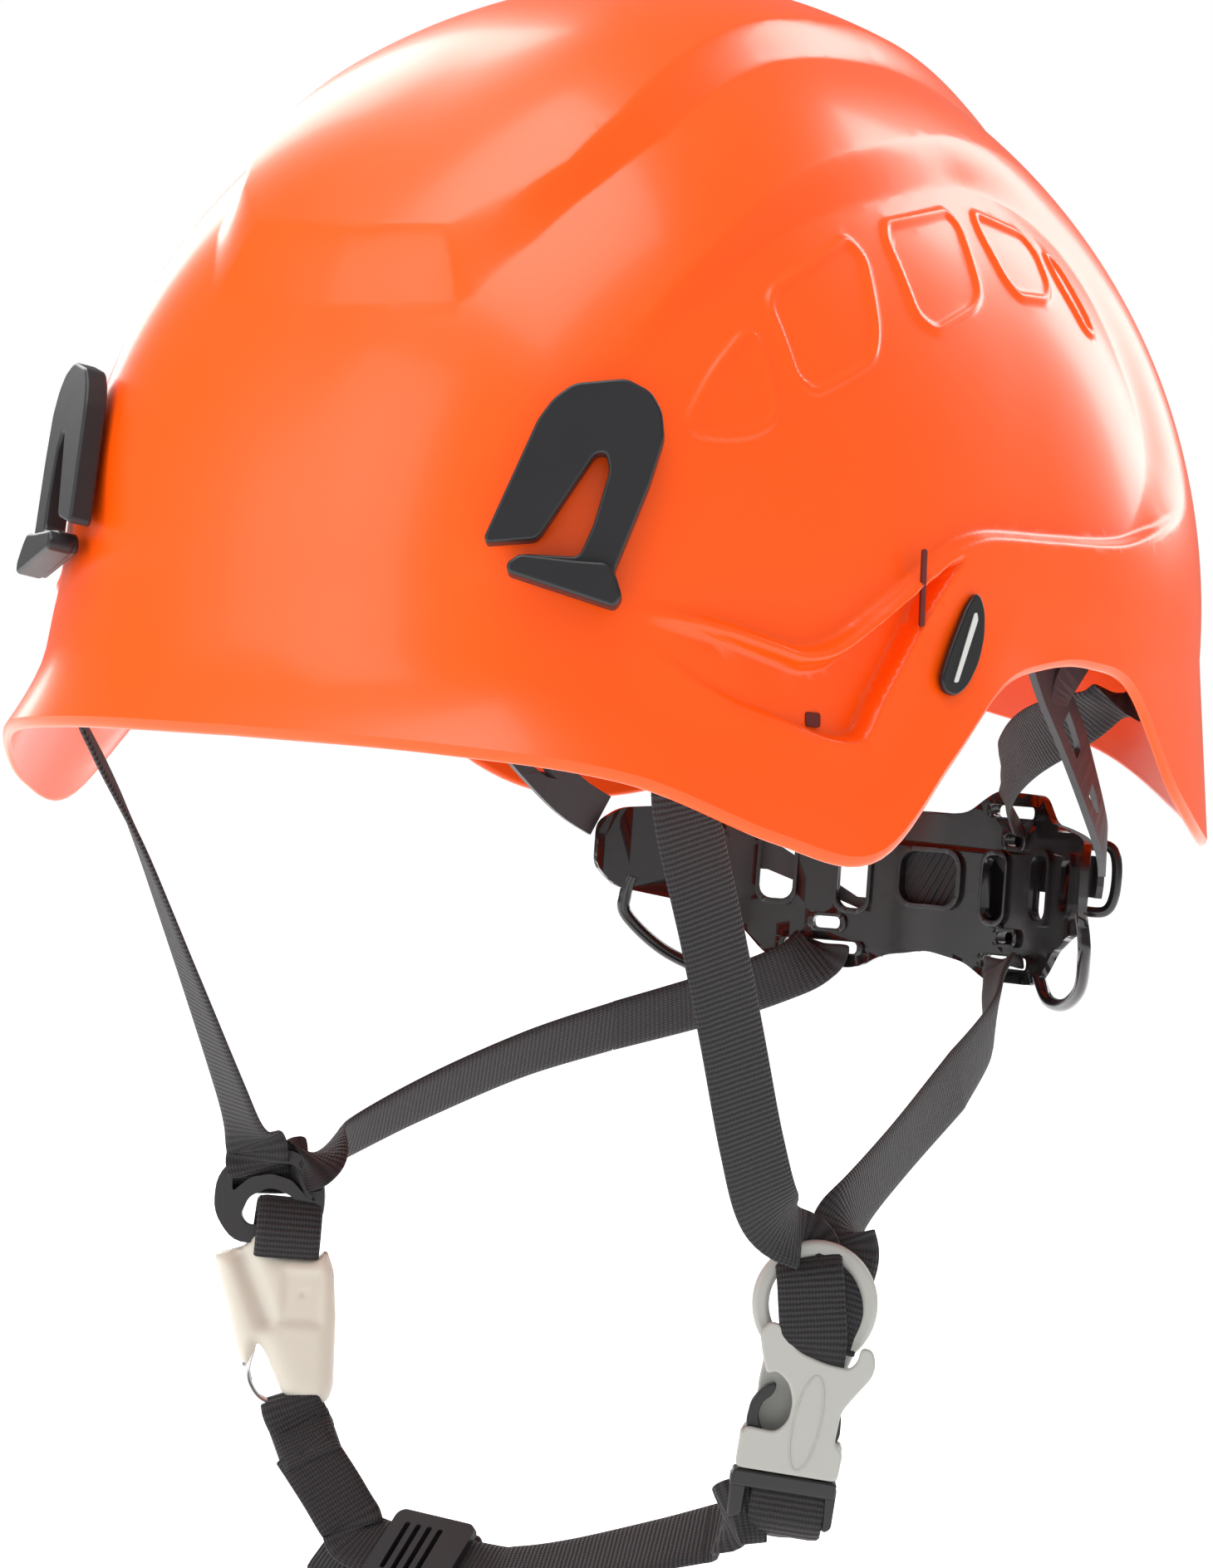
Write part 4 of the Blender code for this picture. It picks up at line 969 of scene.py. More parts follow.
class HELMET_OT_cradle(bpy.types.Operator):
    """Builds the nape cradle with its hoops, and finishes its racks, housing and size wheel."""

    bl_idname = "helmet.cradle"
    bl_label = "Nape Cradle"

    def execute(self, context):
        gloss = plastic("cradle plastic", (0.012, 0.012, 0.013), 0.2, 2.0, 0.05, coat=0.3)
        matte = plastic("wheel plastic", NEAR_BLACK, 0.45)
        grey = plastic("rack plastic", GREY, 0.42)
        net = plastic("window mesh", (0.03, 0.03, 0.032), 0.8, 0.9, 0.6)
        half = [(0, -41), (10, -40), (16, -36), (20, -34), (38, -34.5), (44, -41), (62, -43), (82, -45),
                (88, -49), (88, -60), (82, -65), (60, -68), (50, -72), (43, -79), (38, -81), (20, -81),
                (12, -77), (0, -75)]
        ring = half + [(-s, z) for s, z in half[-2:0:-1]]
        holes = [rounded_box_ring(-8.5, 8.5, -63.5, -50.5, 4)]
        for side in (1, -1):
            for low, high, bottom, top, radius in ((19, 37, -40.5, -37.5, 1.2), (19, 38, -77.5, -74.5, 1.2),
                                                   (25, 32, -47.5, -44.5, 1.2), (24, 31, -71.5, -68.5, 1.2),
                                                   (17.5, 25.5, -66, -50, 3), (37, 45.5, -65, -49, 3),
                                                   (55, 63, -62, -49, 3),):
                ends = sorted((side * low, side * high))
                holes.append(rounded_box_ring(ends[0], ends[1], bottom, top, radius))
        radius = CRADLE_RADIUS + 1
        stretch = radius / CRADLE_RADIUS
        rings = [[(s * stretch, z) for s, z in r] for r in [rounded(ring, 2.5)] + holes]
        bm = bent_mesh(rings, radius, radius, CRADLE_CENTRE_Y, 2, False)
        band = mesh_object("cradle_band", bm, gloss, "cradle", bevel=0.45, segments=2)
        finished(band, "rear_cradle")
        # Raised frames round the window and the slots, on the inner side.
        for n, hole in enumerate(holes):
            middle = Vector(np.mean(hole, axis=0))
            grown = [middle + (Vector(p) - middle) + (Vector(p) - middle).normalized() * 1.5 for p in hole]
            rings = [[(s * 0.994, z) for s, z in r] for r in (grown, hole)]
            rim = bent_mesh(rings, CRADLE_RADIUS - 0.5, CRADLE_RADIUS - 0.5, CRADLE_CENTRE_Y, 1.2, False)
            mesh_object(f"cradle_frame_{n}", rim, gloss, "cradle", bevel=0.35, segments=2)
        for side, word in ((1, "left"), (-1, "right")):
            hoop = [on_cradle(side * s, r, z) for s, r, z in (
                (78, 80.5, -62), (79, 81.5, -67), (78, 82, -72), (68, 82.5, -80), (56, 82, -84.5),
                (46, 81.5, -84), (41, 81, -78.5))]
            mesh_object("cradle_hoop_" + word, tube_mesh(sampled(hoop, 8), 1.6), gloss, "cradle", smooth=60)
            guard = [on_cradle(side * s, r, z) for s, r, z in (
                (71, 80.8, -45.6), (72, 86.5, -45.4), (72.5, 88.6, -49), (72.5, 88.6, -57), (72, 86.5, -61),
                (71, 80.8, -61.2))]
            mesh_object("cradle_guard_" + word, tube_mesh(sampled(guard, 8), 1.3), gloss, "cradle", smooth=60)
        repaint(grey, "rack_left", "rack_right")
        repaint(matte, "wheel_housing")
        repaint(gloss, "pinion")
        repaint(net, "window_insert")
        ribs = bmesh.new()
        for n in range(-5, 6):
            x, y = n * 2.2, CRADLE_CENTRE_Y + 82.2
            add_rod(ribs, (x - 5, y, -65), (x + 5, y, -48), 0.45, 8)
        for place, way in (((-9, 0, 0), (-1, 0, 0)), ((9, 0, 0), (1, 0, 0)), ((0, 0, -63.8), (0, 0, -1)),
                           ((0, 0, -50.2), (0, 0, 1)),):
            bisect(ribs, Vector(place) * MM, way, clear_outer=True)
        mesh_object("window_ribs", ribs, net, "cradle", smooth=60)
        flutes, steps = 18, 18 * 8
        ring = []
        for n in range(steps):
            angle = 2 * math.pi * n / steps
            radius = float(16 - 1.1 * ease(0.2, 0.9, abs(math.sin(flutes / 2 * angle))))
            ring.append((radius * math.cos(angle), radius * math.sin(angle)))
        wheel = plate("ribbed_wheel", [ring], 7.5, matte, 0.9)
        wheel.location = Vector((0, CRADLE_CENTRE_Y + 94.2, WHEEL_HEIGHT)) * MM
        finished(wheel, "size_wheel", "wheel")
        face = plate("wheel_face", [arc(11, 11, (7.5 * n for n in range(48)))], 1.4, matte, 0.5, 2)
        face.location = Vector((0, CRADLE_CENTRE_Y + 98.2, WHEEL_HEIGHT)) * MM
        finished(face, body="wheel")
        return {"FINISHED"}


# --------------------------------------------------------------------------------------- the harness

# The buckle ring's and the divider's centres, how far they turn and lean, and the slider's two ends.
RING_CENTRE = (79.0, -30.0, -150.5)
RING_TURN = 36.0
BUCKLE_LEAN = 5.0
DIVIDER_CENTRE = (-79.0, -30.0, -142.0)
SLIDER_ENDS = ((-40.0, -32.0, -219.4), (-8.0, -32.0, -221.2))
# The way the lower strap's outer face looks.
LOWER_LOOK = (0.1, -0.75, 0.62)
# Where each rear strap starts to follow the cradle instead of the helmet.
REAR_START = {"left": (52, 62, -103), "right": (-57, 72, -99)}


def placing(centre, lean=0.0):
    """Where a piece made round its own origin goes: its centre, its turn about the upright and its lean."""
    turn = Euler((0, math.radians(lean), math.radians(RING_TURN)), "XYZ").to_matrix().to_4x4()
    return Matrix.Translation(Vector(centre) * MM) @ turn


AT_RING = placing(RING_CENTRE, BUCKLE_LEAN)
AT_DIVIDER = placing(DIVIDER_CENTRE)


def out_of(matrix, points):
    """Millimetre points in a piece's own frame, taken to the helmet's."""
    return [(matrix @ (Vector(p) * MM)) / MM for p in points]


def put(obj, matrix, node=None, body="helmet"):
    """Places a piece that was made in its own frame, and finishes it."""
    obj.matrix_world = matrix
    return finished(obj, node, body)


def away_from(centre, points):
    """The ways out from a centre to each point, for webbing that wraps round it."""
    return [Vector(p) - Vector(centre) for p in points]


def turned(matrix, looks):
    return [matrix.to_3x3() @ Vector(p) for p in looks]


class HELMET_OT_straps(bpy.types.Operator):
    """Builds the chin harness's webbing, its sewn ends and the nape webbing."""

    bl_idname = "helmet.straps"
    bl_label = "Chin Straps"

    def execute(self, context):
        _, harness, _ = settings()
        fabric = webbing_material("strap webbing", tuple(harness.webbing_colour))
        thread = new_material("thread", (0.03, 0.03, 0.032), 0.6)

        def piece(name, node, route, looks, body="helmet", **more):
            return finished(strap(name, route, looks, fabric, body, **more), node)

        ring_in = out_of(AT_RING, [(-4.5, 1.5, 12.5), (-2.5, -3.6, 7.5), (-0.8, -4.4, 0), (0.8, -4.2, -8),
                                   (1, -3.0, -14)])
        ring_look = turned(AT_RING, [(-0.2, -1, 0.5), (-0.1, -1, 0.25), (0, -1, 0), (0, -1, 0), (0, -1, 0)])
        piece("front_webbing_left", "front_strap_left",
              [(88.6, -105.5, -22), (87, -104, -33), (85.2, -100.5, -44), (84, -86, -70), (82.6, -74, -92),
               (80.6, -61, -115), (78.5, -49, -130), *ring_in],
              [facing(a) for a in (48, 50, 52, 55, 55, 52, 45)] + ring_look)
        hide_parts("ring_webbing")
        divider_in = out_of(AT_DIVIDER, [(-3.8, -3.9, 11.5), (-3.5, -2.6, 8), (-3.2, 0.6, 4.4), (-3, 3, 0.5)])
        divider_look = turned(AT_DIVIDER, [(-0.3, -1, 0.3), (0, -1, 0.7), (0, -1, 0.6), (0, -1, 0.1)])
        piece("front_webbing_right", "front_strap_right",
              [(-88.4, -106, -20), (-87.5, -103.5, -30), (-86, -98, -38), (-85, -82, -57.5), (-83, -64, -86),
               (-81, -47, -114), (-80.4, -39.5, -126), *divider_in],
              [facing(a) for a in (-42, -42, -40, -36, -28, -18, -8)] + divider_look)
        rear_in = out_of(AT_RING, [(5.5, 3.2, 12.5), (5.2, -0.5, 7.5), (4.6, -2.6, 1), (3.6, -2.2, -5),
                                   (3, -1, -9)])
        rear_look = turned(AT_RING, [(0.3, -1, 0.4), (0.35, -1, 0.2), (0.3, -1, 0), (0.2, -1, 0), (0, -1, 0)])
        piece("rear_webbing_left", None,
              [REAR_START["left"], (65, 22, -116.5), (75, -10, -128), (79.5, -22, -134), *rear_in],
              [facing(75), facing(60, -.2), facing(55, -.2), facing(45, -.1), *rear_look])
        divider_in = out_of(AT_DIVIDER, [(9.6, -2.2, 9.8), (7.6, -2.2, 7.4), (6, 1, 4.2), (5, 3.2, 0.8)])
        divider_look = turned(AT_DIVIDER, [(0.1, -1, 0.7), (0.1, -1, 0.7), (0, -1, 0.6), (0, -1, 0.1)])
        piece("rear_webbing_right", None,
              [REAR_START["right"], (-66, 48, -107), (-74, 18, -119), (-78, -8, -130), *divider_in],
              [facing(-115, .55), facing(-105, .6), facing(-95, .6), facing(-60, .5), *divider_look])
        ends = (
            ("left",
             [REAR_START["left"], (39, 95, -92), (31.5, 107, -84), (27.5, 114.5, -78), (27.5, 117, -75.6)],
             [facing(75), facing(120), facing(150), facing(160), facing(163, .4)]),
            ("right",
             [REAR_START["right"], (-43, 95, -90.5), (-31.5, 108.5, -83), (-27.5, 114.5, -78),
              (-27.5, 117, -75.6)],
             [facing(-115, .55), facing(-135, .5), facing(-152, .5), facing(-160, .3), facing(-163, .4)]),
        )
        for word, route, looks in ends:
            obj = piece("rear_strap_end_" + word, "rear_strap_" + word, route, looks, None)
            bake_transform(obj)
        for side, word in ((1, "left"), (-1, "right")):
            route = [(side * x, y, z) for x, y, z in (
                (102, 57, -4), (98, 57, -8), (91, 57, -11), (79, 59, -16), (62, 68, -22), (46, 84, -28),
                (36, 99, -33), (30.5, 109, -37.5), (28.5, 114.5, -39.4))]
            looks = [facing(side * a, rise) for a, rise in (
                (90, .2), (90, .4), (90, .6), (100, .9), (120, .6), (140, .3), (152, 0), (158, 0), (162, .2))]
            obj = piece("nape_strap_" + word, "nape_webbing_" + word, route, looks, None)
            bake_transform(obj)
            tab = [(side * 87.6, -105.7, -20), (side * 87.2, -104.8, -27.5), (side * 86.6, -103.4, -33.4)]
            piece("sewn_end_" + word, "strap_tab_" + word, tab, [facing(side * 48)] * 3, width=15.8,
                  thickness=3.2)
            bm = bmesh.new()
            for n in range(12):
                across = (n - 5.5) * 1.15
                look = facing(side * 48)
                along = Vector((0, 0, 1)).cross(look).normalized()
                height = -33.2 + (0.7 if n % 2 else -0.7)
                middle = Vector((side * 86.5, -103.9, height)) + look * 1.75 + along * across
                add_rod(bm, middle - along * 0.8, middle + along * 0.8, 0.28, 6)
            mesh_object("bar_tack_" + word, bm, thread, "helmet", smooth=60)

        plug = out_of(AT_RING, [(-4, -1, -46.5), (-11, -2.5, -48.5)])
        piece("lower_webbing", "lower_chin_strap",
              [(-64.5, -29, -199.5), (-60, -30, -202.8), (-53, -31.2, -208.5), (-46.5, -31.8, -214.6),
               *SLIDER_ENDS, (2, -32, -220.4), (18, -32, -216.5), (40, -32, -209.5), (56, -32.3, -204.5)],
              [(.2, -.85, .5)] + [LOWER_LOOK] * 8 + [(0.2, -.8, .55)])
        start = (56, -32.3, -204.5)
        looks = [(0.2, -.8, .55), (.3, -.8, .5), *turned(AT_RING, [(0, -1, .3), (0, -1, 0)])]
        obj = piece("lower_webbing_end", None, [start, (61, -33.2, -202.7), plug[1], plug[0]], looks, None)
        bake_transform(obj)
        piece("tail_webbing", "strap_tail",
              [(-41.5, -29.4, -221.8), (-46, -29.3, -222.4), (-51, -28.8, -222.4), (-56.5, -28.2, -222)],
              [LOWER_LOOK] * 4, width=14, thickness=1.3)
        return {"FINISHED"}


def hollow_out(obj, low, high):
    """Cuts a box out of a piece before its edges are softened, and keeps the result as its mesh."""
    mesh = bpy.data.meshes.new("cutter")
    bm = box_mesh(low, high)
    bm.to_mesh(mesh)
    bm.free()
    cutter = link_object("cutter", mesh)
    difference = obj.modifiers.new("Hollow", "BOOLEAN")
    difference.object = cutter
    difference.operation = "DIFFERENCE"
    obj.modifiers.move(len(obj.modifiers) - 1, 0)
    graph = bpy.context.evaluated_depsgraph_get()
    made = bpy.data.meshes.new_from_object(obj.evaluated_get(graph))
    obj.modifiers.clear()
    obj.data = made
    bpy.data.objects.remove(cutter, do_unlink=True)
    return obj


class HELMET_OT_buckle(bpy.types.Operator):
    """Builds the side-release buckle: its ring and body, and the plug with two prongs and its webbing."""

    bl_idname = "helmet.buckle"
    bl_label = "Buckle"

    def execute(self, context):
        _, harness, _ = settings()
        grey = plastic("grey plastic", tuple(harness.buckle_colour), 0.45, 0.35, 0.1)
        black = plastic("plug plastic", (0.014, 0.014, 0.015), 0.33, 0.4, 0.08)
        fabric = webbing_material("plug webbing", tuple(harness.webbing_colour))
        outer = arc(14, 14.2, range(-42, 223, 6)) + [(-8, -14.5), (9, -14.5)]
        inner = arc(10.2, 10.4, range(-60, 241, 8))
        ring = plate("buckle_ring", [outer, inner], 4.4, grey, 1.5, 4, 0.6)
        put(ring, AT_RING, "buckle_body")
        front = [(-11.2, -7.6), (-9.2, -5.0), (-7, -5.2), (-4.6, -8.2), (-1.5, -10.8), (4.5, -12.4),
                 (9.6, -12.8), (11.2, -11), (11.6, -7.6), (14.2, -7.8), (15.4, -10.8), (15.0, -13.8),
                 (11.4, -19.2), (9.4, -22.5), (9.0, -29.6), (11.2, -31.3), (10.9, -37.9), (-11.9, -37.9),
                 (-11.2, -28.6), (-4.2, -29), (-1.8, -26), (-1.6, -21.5), (-3.2, -17.6), (-6.2, -15.6),
                 (-8.2, -16.6), (-10, -12)]
        put(plate("buckle_front", [rounded(front, 1.6)], 2.2, grey, 0.7, middle=-3.8), AT_RING)
        back = [(-9, -10.5), (9.6, -10.5), (10.2, -19), (9.0, -24), (9, -30), (11, -32), (10.9, -37.9),
                (-11.9, -37.9), (-11.6, -29), (-9, -27), (-9.6, -19)]
        put(plate("buckle_back", [rounded(back, 1.6)], 1.8, grey, 0.6, middle=3.8), AT_RING)
        collar = plate("buckle_collar", [rounded_box_ring(-11.9, 10.9, -37.9, -29.6, 1.0)], 9.4, grey, 0.9)
        put(hollow_out(collar, (-9.4, -2.9, -50), (8.4, 2.9, -15)), AT_RING)
        bridge = mesh_object("buckle_bridge", box_mesh((-8, -4, -15.2), (9, 4, -12.6)), grey, None, bevel=1.0)
        put(bridge, AT_RING)
        oval = [(2.2 + 5.6 * math.cos(a) * 0.55, -26 + 10.4 * math.sin(a) + 2.5 * math.cos(a))
                for a in (2 * math.pi * n / 40 for n in range(40))]
        line = tube_mesh([(x, -4.92, z) for x, z in oval], 0.2, 6, True)
        put(mesh_object("buckle_oval", line, grey, None, smooth=60), AT_RING)
        shoulder = rounded([(-12.2, -38.2), (11, -38.2), (11, -42), (-12.6, -42)], 0.8)
        put(plate("plug_shoulder", [shoulder], 9.2, black, 0.9), AT_RING, "buckle_plug",
            "plug")
        for name, x0, x1 in (("plug_leg_outer", -12.8, -8.8), ("plug_leg_inner", 8.6, 11.2)):
            leg = rounded([(x0, -39), (x1, -39), (x1, -48.5), (x0 + 0.8, -49.6)], 1.4)
            put(plate(name, [leg], 8, black, 1.2), AT_RING, body="plug")
        bar = mesh_object("plug_bar", tube_mesh([(-11, 0, -48), (10.4, 0, -48)], 1.5, 16), black, None,
                          smooth=60)
        put(bar, AT_RING, body="plug")
        guard = [(-12, 3.2, -46.5), (-8, 3.9, -50), (-1, 4.2, -51.4), (6, 3.9, -50.2), (10.2, 3.2, -47)]
        guard = mesh_object("plug_guard", tube_mesh(sampled(guard, 8), 1.5, 12), black, None, smooth=60)
        put(guard, AT_RING, body="plug")
        tongue = mesh_object("plug_tongue", box_mesh((-1.6, -1.7, -40), (0.6, 1.7, -17)), black, None,
                             bevel=0.5)
        put(tongue, AT_RING, body="plug")
        wrap = [(0.8, -3.2, -41.6), (0.8, -3.8, -44.5), (0.8, -3.6, -48), (0.8, -1.8, -50.6),
                (0.8, 0.8, -51.2), (0.8, 2.9, -49.2), (0.8, 3.2, -45.5)]
        looks = away_from((0.8, 0, -47), wrap)
        wrapped = strap("plug_wrap", wrap, looks, fabric, None, width=16.6, thickness=1.6)
        put(wrapped, AT_RING, "plug_webbing", "plug")
        for side, name in ((1, "left"), (-1, "right")):
            ring = [(4.9, -40.6), (7.2, -40.6), (7.6, -31.6), (9.6, -30.6), (10.6, -28), (10.2, -23.5),
                    (8, -19.6), (5, -18.2), (5.4, -21), (7.6, -23), (8.2, -26), (7.2, -28.6), (5.2, -30.6)]
            outline = rounded([(-0.5 + side * x, z) for x, z in ring], 1.2)
            prong = plate("sprung_prong_" + name, [outline], 4.2, black, 0.6)
            put(prong, AT_RING, "prong_" + name, name + "_prong")
        return {"FINISHED"}


class HELMET_OT_divider(bpy.types.Operator):
    """Builds the strap divider, the sleeved hook that hangs from it and the wire bail."""

    bl_idname = "helmet.divider"
    bl_label = "Divider and Hook"

    def execute(self, context):
        _, harness, _ = settings()
        black = plastic("divider plastic", NEAR_BLACK, 0.4, 0.4, 0.08)
        milky = plastic("milky sleeve", (0.60, 0.58, 0.50), 0.34, 1.2, 0.12)
        shader = milky.node_tree.nodes["Principled BSDF"]
        shader.inputs["Subsurface Weight"].default_value = 0.5
        shader.inputs["Subsurface Radius"].default_value = (0.004, 0.0036, 0.003)
        shader.inputs["Subsurface Scale"].default_value = 0.8
        chrome = plastic("bright wire", (0.72, 0.72, 0.74), 0.16, 0.8, 0.03, metallic=1.0)
        fabric = webbing_material("hook webbing", tuple(harness.webbing_colour))

        outline = [(-6.5, 11.2), (6.5, 11.2), (12.9, 4), (13.1, -4.6), (8, -11.4), (-8, -11.4),
                   (-13.1, -4.6), (-12.9, 4)]
        upper = [(-8.9, 0.4), (-9, 4.6), (-5, 7.9), (5, 7.9), (9, 4.6), (8.9, 0.4), (5, 4.2), (0, 5.4),
                 (-5, 4.2)]
        lower = [(-6.6, -5), (-5, -0.6), (0, 2.2), (5.6, 0.2), (8.4, -5), (6, -7.2), (-5, -7.2)]
        rings = [rounded(outline, 3.4), rounded(upper, 1.2), rounded(lower, 1.6)]
        put(plate("divider_plate", rings, 4.4, black, 1.1), AT_DIVIDER, "y_divider")
        fold = [(4, 2.6, -8.8), (4.2, 3.4, -5.4), (4.6, 1.8, -1.8), (5, -1.6, -1.2), (5.2, -3.9, -4.4),
                (5.2, -4.6, -8.8), (5, -3.2, -14)]
        looks = away_from((4.6, 0.4, -7), fold)
        loop = strap("hook_loop", fold, looks, fabric, None, width=15.5, thickness=2.2)
        put(loop, AT_DIVIDER, "hook_webbing")

        cover = [(-12.2, -14.6), (-9.3, -13.6), (-5, -12.2), (-3.2, -9.6), (-1.2, -7.4), (1.6, -7.8),
                 (2.4, -10.4), (1.4, -11.6), (3.4, -14.0), (12, -14.2), (14.2, -11.6), (16.4, -17),
                 (17.6, -28), (18.2, -44), (17, -47.8), (13.4, -48.2), (10, -47.0), (6.4, -46.6),
                 (4.6, -43), (1.6, -37), (-0.4, -34.4), (-2.4, -40.6), (-4.4, -38.6), (-7.6, -28)]
        ring = rounded(cover, 1.6)

        def sleeve_relief(x, z):
            """Depth of the fold's groove and of the round pocket, in millimetres."""
            at = np.stack((x, z), axis=-1)
            groove = line_distance(at, np.array([(-5.2, -15), (-2.4, -21), (1.4, -29)]))
            room = np.minimum.reduce((x - 3.4, 15.2 - x, z + 31, -16 - z))
            dimple = np.hypot(x - 9.6, z + 22.6)
            pressed = 2.1 * np.exp(-(groove / 2.3) ** 2) + 0.8 * ease(0, 2.4, room)
            return pressed + 0.7 * np.exp(-(dimple / 0.55) ** 2)

        sleeve = mesh_object("hook_sleeve", pillow_mesh(ring, 8.4, 4.6, sleeve_relief), milky, None,
                             smooth=60)
        put(sleeve, AT_DIVIDER, "hook_cover")
        repaint(chrome, "hook")
        bail = [(-1.4, 0, -30), (-1.8, -0.4, -36), (-2.6, -0.6, -41), (-1.6, -0.6, -45), (1.6, -0.4, -48.4),
                (8, 0, -50), (12.4, 0, -47.4), (12.6, 0, -42), (10.8, 0, -37.5), (6.25, 0, -36.6)]
        wire = mesh_object("bail_wire", tube_mesh(sampled(bail, 6), 1.15, 14), chrome, None, smooth=60)
        put(wire, AT_DIVIDER, "wire_loop", "bail")
        fold = [(12.6, 2.2, -56), (9.6, 2.9, -51), (8, 0.2, -46.4), (8.6, -2.9, -48.6), (10.2, -2.8, -51.8),
                (13.6, -1.8, -57)]
        looks = away_from((10, 0, -51.5), fold)
        looks[0], looks[-1] = Vector((-0.2, 1, 0.2)), Vector((0.2, -1, 0.2))
        loop = strap("bail_loop", fold, looks, fabric, None, width=14.4, thickness=1.5)
        put(loop, AT_DIVIDER, "loop_webbing", "bail")
        join = out_of(AT_DIVIDER, [(10.6, 0.2, -52.5)])[0]
        end = Vector((-60, -30, -202.8))
        middle = (join * 2 + end) / 3
        bridge = strap("bail_bridge", [join, middle, (join + end * 3) / 4, end],
                       [facing(34, .2), facing(30, .3), facing(24, .4), (0.15, -.8, .56)], fabric, None,
                       thickness=2.8)
        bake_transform(bridge)

        slider = [rounded_box_ring(-11.5, 11.5, -9.8, 9.8, 2.4)]
        openings = [rounded_box_ring(low, low + 1.5, -6.6, 6.6, 0.6) for low in (-7.6, -4.4, -1.2, 2.0)]
        start, end = (Vector(place) for place in SLIDER_ENDS)
        along = (end - start).normalized()
        out = Vector(LOWER_LOOK)
        out = (out - along * out.dot(along)).normalized()
        basis = Matrix((along, -out, out.cross(along) * -1)).transposed()
        place = Matrix.Translation((start + end) * MM / 2) @ basis.to_4x4()
        front = plate("slider_front", slider + openings, 1.7, black, 0.5, 2, -2.0)
        put(front, place, "strap_slider", "slider")
        put(plate("slider_back", slider, 1.5, black, 0.5, 2, 2.0), place, body="slider")
        return {"FINISHED"}


# ------------------------------------------------------------------------------------------ the stage


# Metres, and angles from the front and up.
FLOOR_REACH = 25
FLOOR_HEIGHT = -0.236
FLOOR_GLOW = 0.45
SKY_IN_GLOSS = 0.28
CAMERA_DISTANCE = 1.5
CAMERA_TURN = 36.216
CAMERA_RISE = -1.216
CAMERA_ROLL = 4.158
LENS = 147.3
# Each light's name, turn, rise, distance, size and share of the key light's power.
LIGHTS = (
    ("far_side", -114, 30, 1.5, (0.5, 1.1), 0.9), ("back", 172, 28, 1.6, (0.45, 1.1), 0.9),
    ("top", -20, 68, 1.5, (1.3, 1.1), 1.5), ("front", -28, 18, 1.8, (0.7, 1.2), 0.55),
)


def direction(turn, rise):
    """A direction at this turn from the front and this rise above level, both in degrees."""
    turn, rise = math.radians(turn), math.radians(rise)
    return Vector((math.sin(turn) * math.cos(rise), -math.cos(turn) * math.cos(rise), math.sin(rise)))


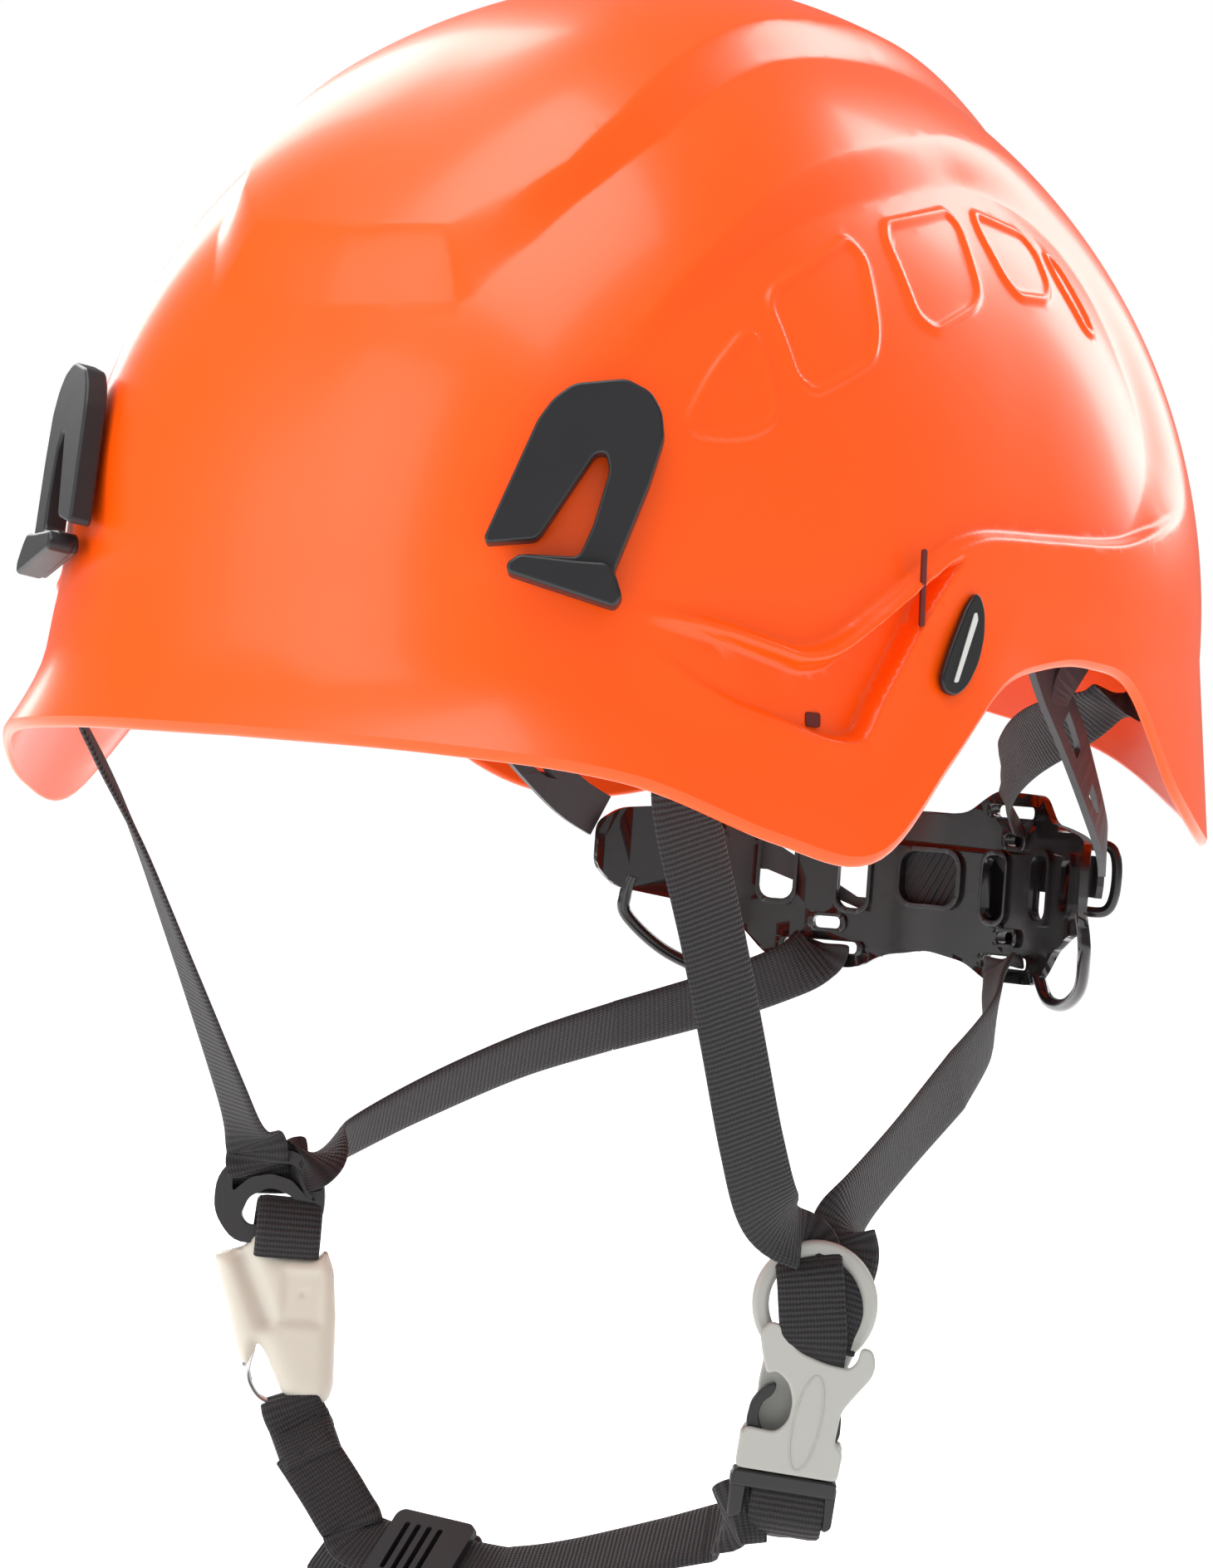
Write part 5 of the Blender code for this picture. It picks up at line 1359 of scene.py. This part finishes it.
class HELMET_OT_stage(bpy.types.Operator):
    """Sets up the floor, the soft light and the camera."""

    bl_idname = "helmet.stage"
    bl_label = "Stage"

    def execute(self, context):
        _, _, stage = settings()
        bm = bmesh.new()
        bmesh.ops.create_grid(bm, x_segments=1, y_segments=1, size=FLOOR_REACH)
        bmesh.ops.translate(bm, verts=bm.verts, vec=(0, 0, FLOOR_HEIGHT))
        pale = add_grain(new_material("pale floor", (0.92, 0.92, 0.92), 0.8, specular=0.1), 30, 0.0, 0.03)
        shader = pale.node_tree.nodes["Principled BSDF"]
        shader.inputs["Emission Color"].default_value = (1, 1, 1, 1)
        shader.inputs["Emission Strength"].default_value = FLOOR_GLOW
        floor = mesh_object("floor", bm, pale, None)
        world = bpy.data.worlds.new("studio")
        context.scene.world = world
        world.use_nodes = True
        tree = world.node_tree
        background = tree.nodes["Background"]
        background.inputs["Color"].default_value = (1, 1, 1, 1)
        # The sky is white behind the helmet, lights it at its own strength and is dimmer in its gloss.
        rays = shader_node(tree, "LightPath").outputs
        ends = {"To Min": stage.sky, "To Max": stage.sky * SKY_IN_GLOSS}
        shine = shader_node(tree, "MapRange", {**ends, "Value": rays["Is Glossy Ray"]}).outputs["Result"]
        seen = shader_node(tree, "Math", {0: shine, 1: rays["Is Camera Ray"]}, operation="MAXIMUM")
        tree.links.new(seen.outputs[0], background.inputs["Strength"])
        for name, turn, rise, distance, size, share in LIGHTS:
            place = direction(turn, rise) * distance
            data = bpy.data.lights.new(name, "AREA")
            data.shape = "RECTANGLE"
            data.size, data.size_y = size
            data.energy = stage.key_power * share
            light = link_object(name, data)
            light.location = place
            light.rotation_euler = (place * -1).to_track_quat("-Z", "Y").to_euler()
        back = direction(CAMERA_TURN, CAMERA_RISE)
        azimuth, roll = math.radians(CAMERA_TURN), math.radians(CAMERA_ROLL)
        right = Vector((math.cos(azimuth), math.sin(azimuth), 0))
        up = back.cross(right)
        across = right * math.cos(roll) + up * math.sin(roll)
        upright = up * math.cos(roll) - right * math.sin(roll)
        data = bpy.data.cameras.new("camera")
        camera = link_object("camera", data)
        turn = Matrix((across, upright, back)).transposed().to_4x4()
        camera.matrix_world = Matrix.Translation(back * CAMERA_DISTANCE) @ turn
        data.sensor_fit = "VERTICAL"
        data.sensor_height = 36
        data.lens = LENS
        data.shift_x = -0.0322
        data.shift_y = -0.1043
        data.clip_start = 0.05
        context.scene.camera = camera
        context.scene.view_settings.view_transform = "Standard"
        return {"FINISHED"}


CLASSES = (HelmetShellSettings, HelmetHarnessSettings, HelmetStageSettings, HELMET_OT_shell,
           HELMET_OT_clips, HELMET_OT_badges, HELMET_OT_suspension, HELMET_OT_cradle, HELMET_OT_straps,
           HELMET_OT_buckle, HELMET_OT_divider, HELMET_OT_stage,)


class HELMET_PT_sidebar(bpy.types.Panel):
    """The helmet's sizes, colours and build steps."""

    bl_idname = "HELMET_PT_sidebar"
    bl_label = "Climbing Helmet"
    bl_space_type = "VIEW_3D"
    bl_region_type = "UI"
    bl_category = "Helmet"

    def draw(self, context):
        for group in (context.scene.helmet_shell, context.scene.helmet_harness, context.scene.helmet_stage):
            box = self.layout.box()
            for name in type(group).__annotations__:
                box.prop(group, name)
        for kind in CLASSES[3:]:
            self.layout.operator(kind.bl_idname)


def register():
    for kind in (*CLASSES, HELMET_PT_sidebar):
        bpy.utils.register_class(kind)
    bpy.types.Scene.helmet_shell = bpy.props.PointerProperty(type=HelmetShellSettings)
    bpy.types.Scene.helmet_harness = bpy.props.PointerProperty(type=HelmetHarnessSettings)
    bpy.types.Scene.helmet_stage = bpy.props.PointerProperty(type=HelmetStageSettings)


def unregister():
    del bpy.types.Scene.helmet_stage
    del bpy.types.Scene.helmet_harness
    del bpy.types.Scene.helmet_shell
    for kind in reversed((*CLASSES, HELMET_PT_sidebar)):
        bpy.utils.unregister_class(kind)


def main():
    register()
    bpy.ops.helmet.shell()
    bpy.ops.helmet.clips()
    bpy.ops.helmet.badges()
    bpy.ops.helmet.suspension()
    bpy.ops.helmet.cradle()
    bpy.ops.helmet.straps()
    bpy.ops.helmet.buckle()
    bpy.ops.helmet.divider()
    bpy.ops.helmet.stage()


if __name__ == "__main__":
    main()
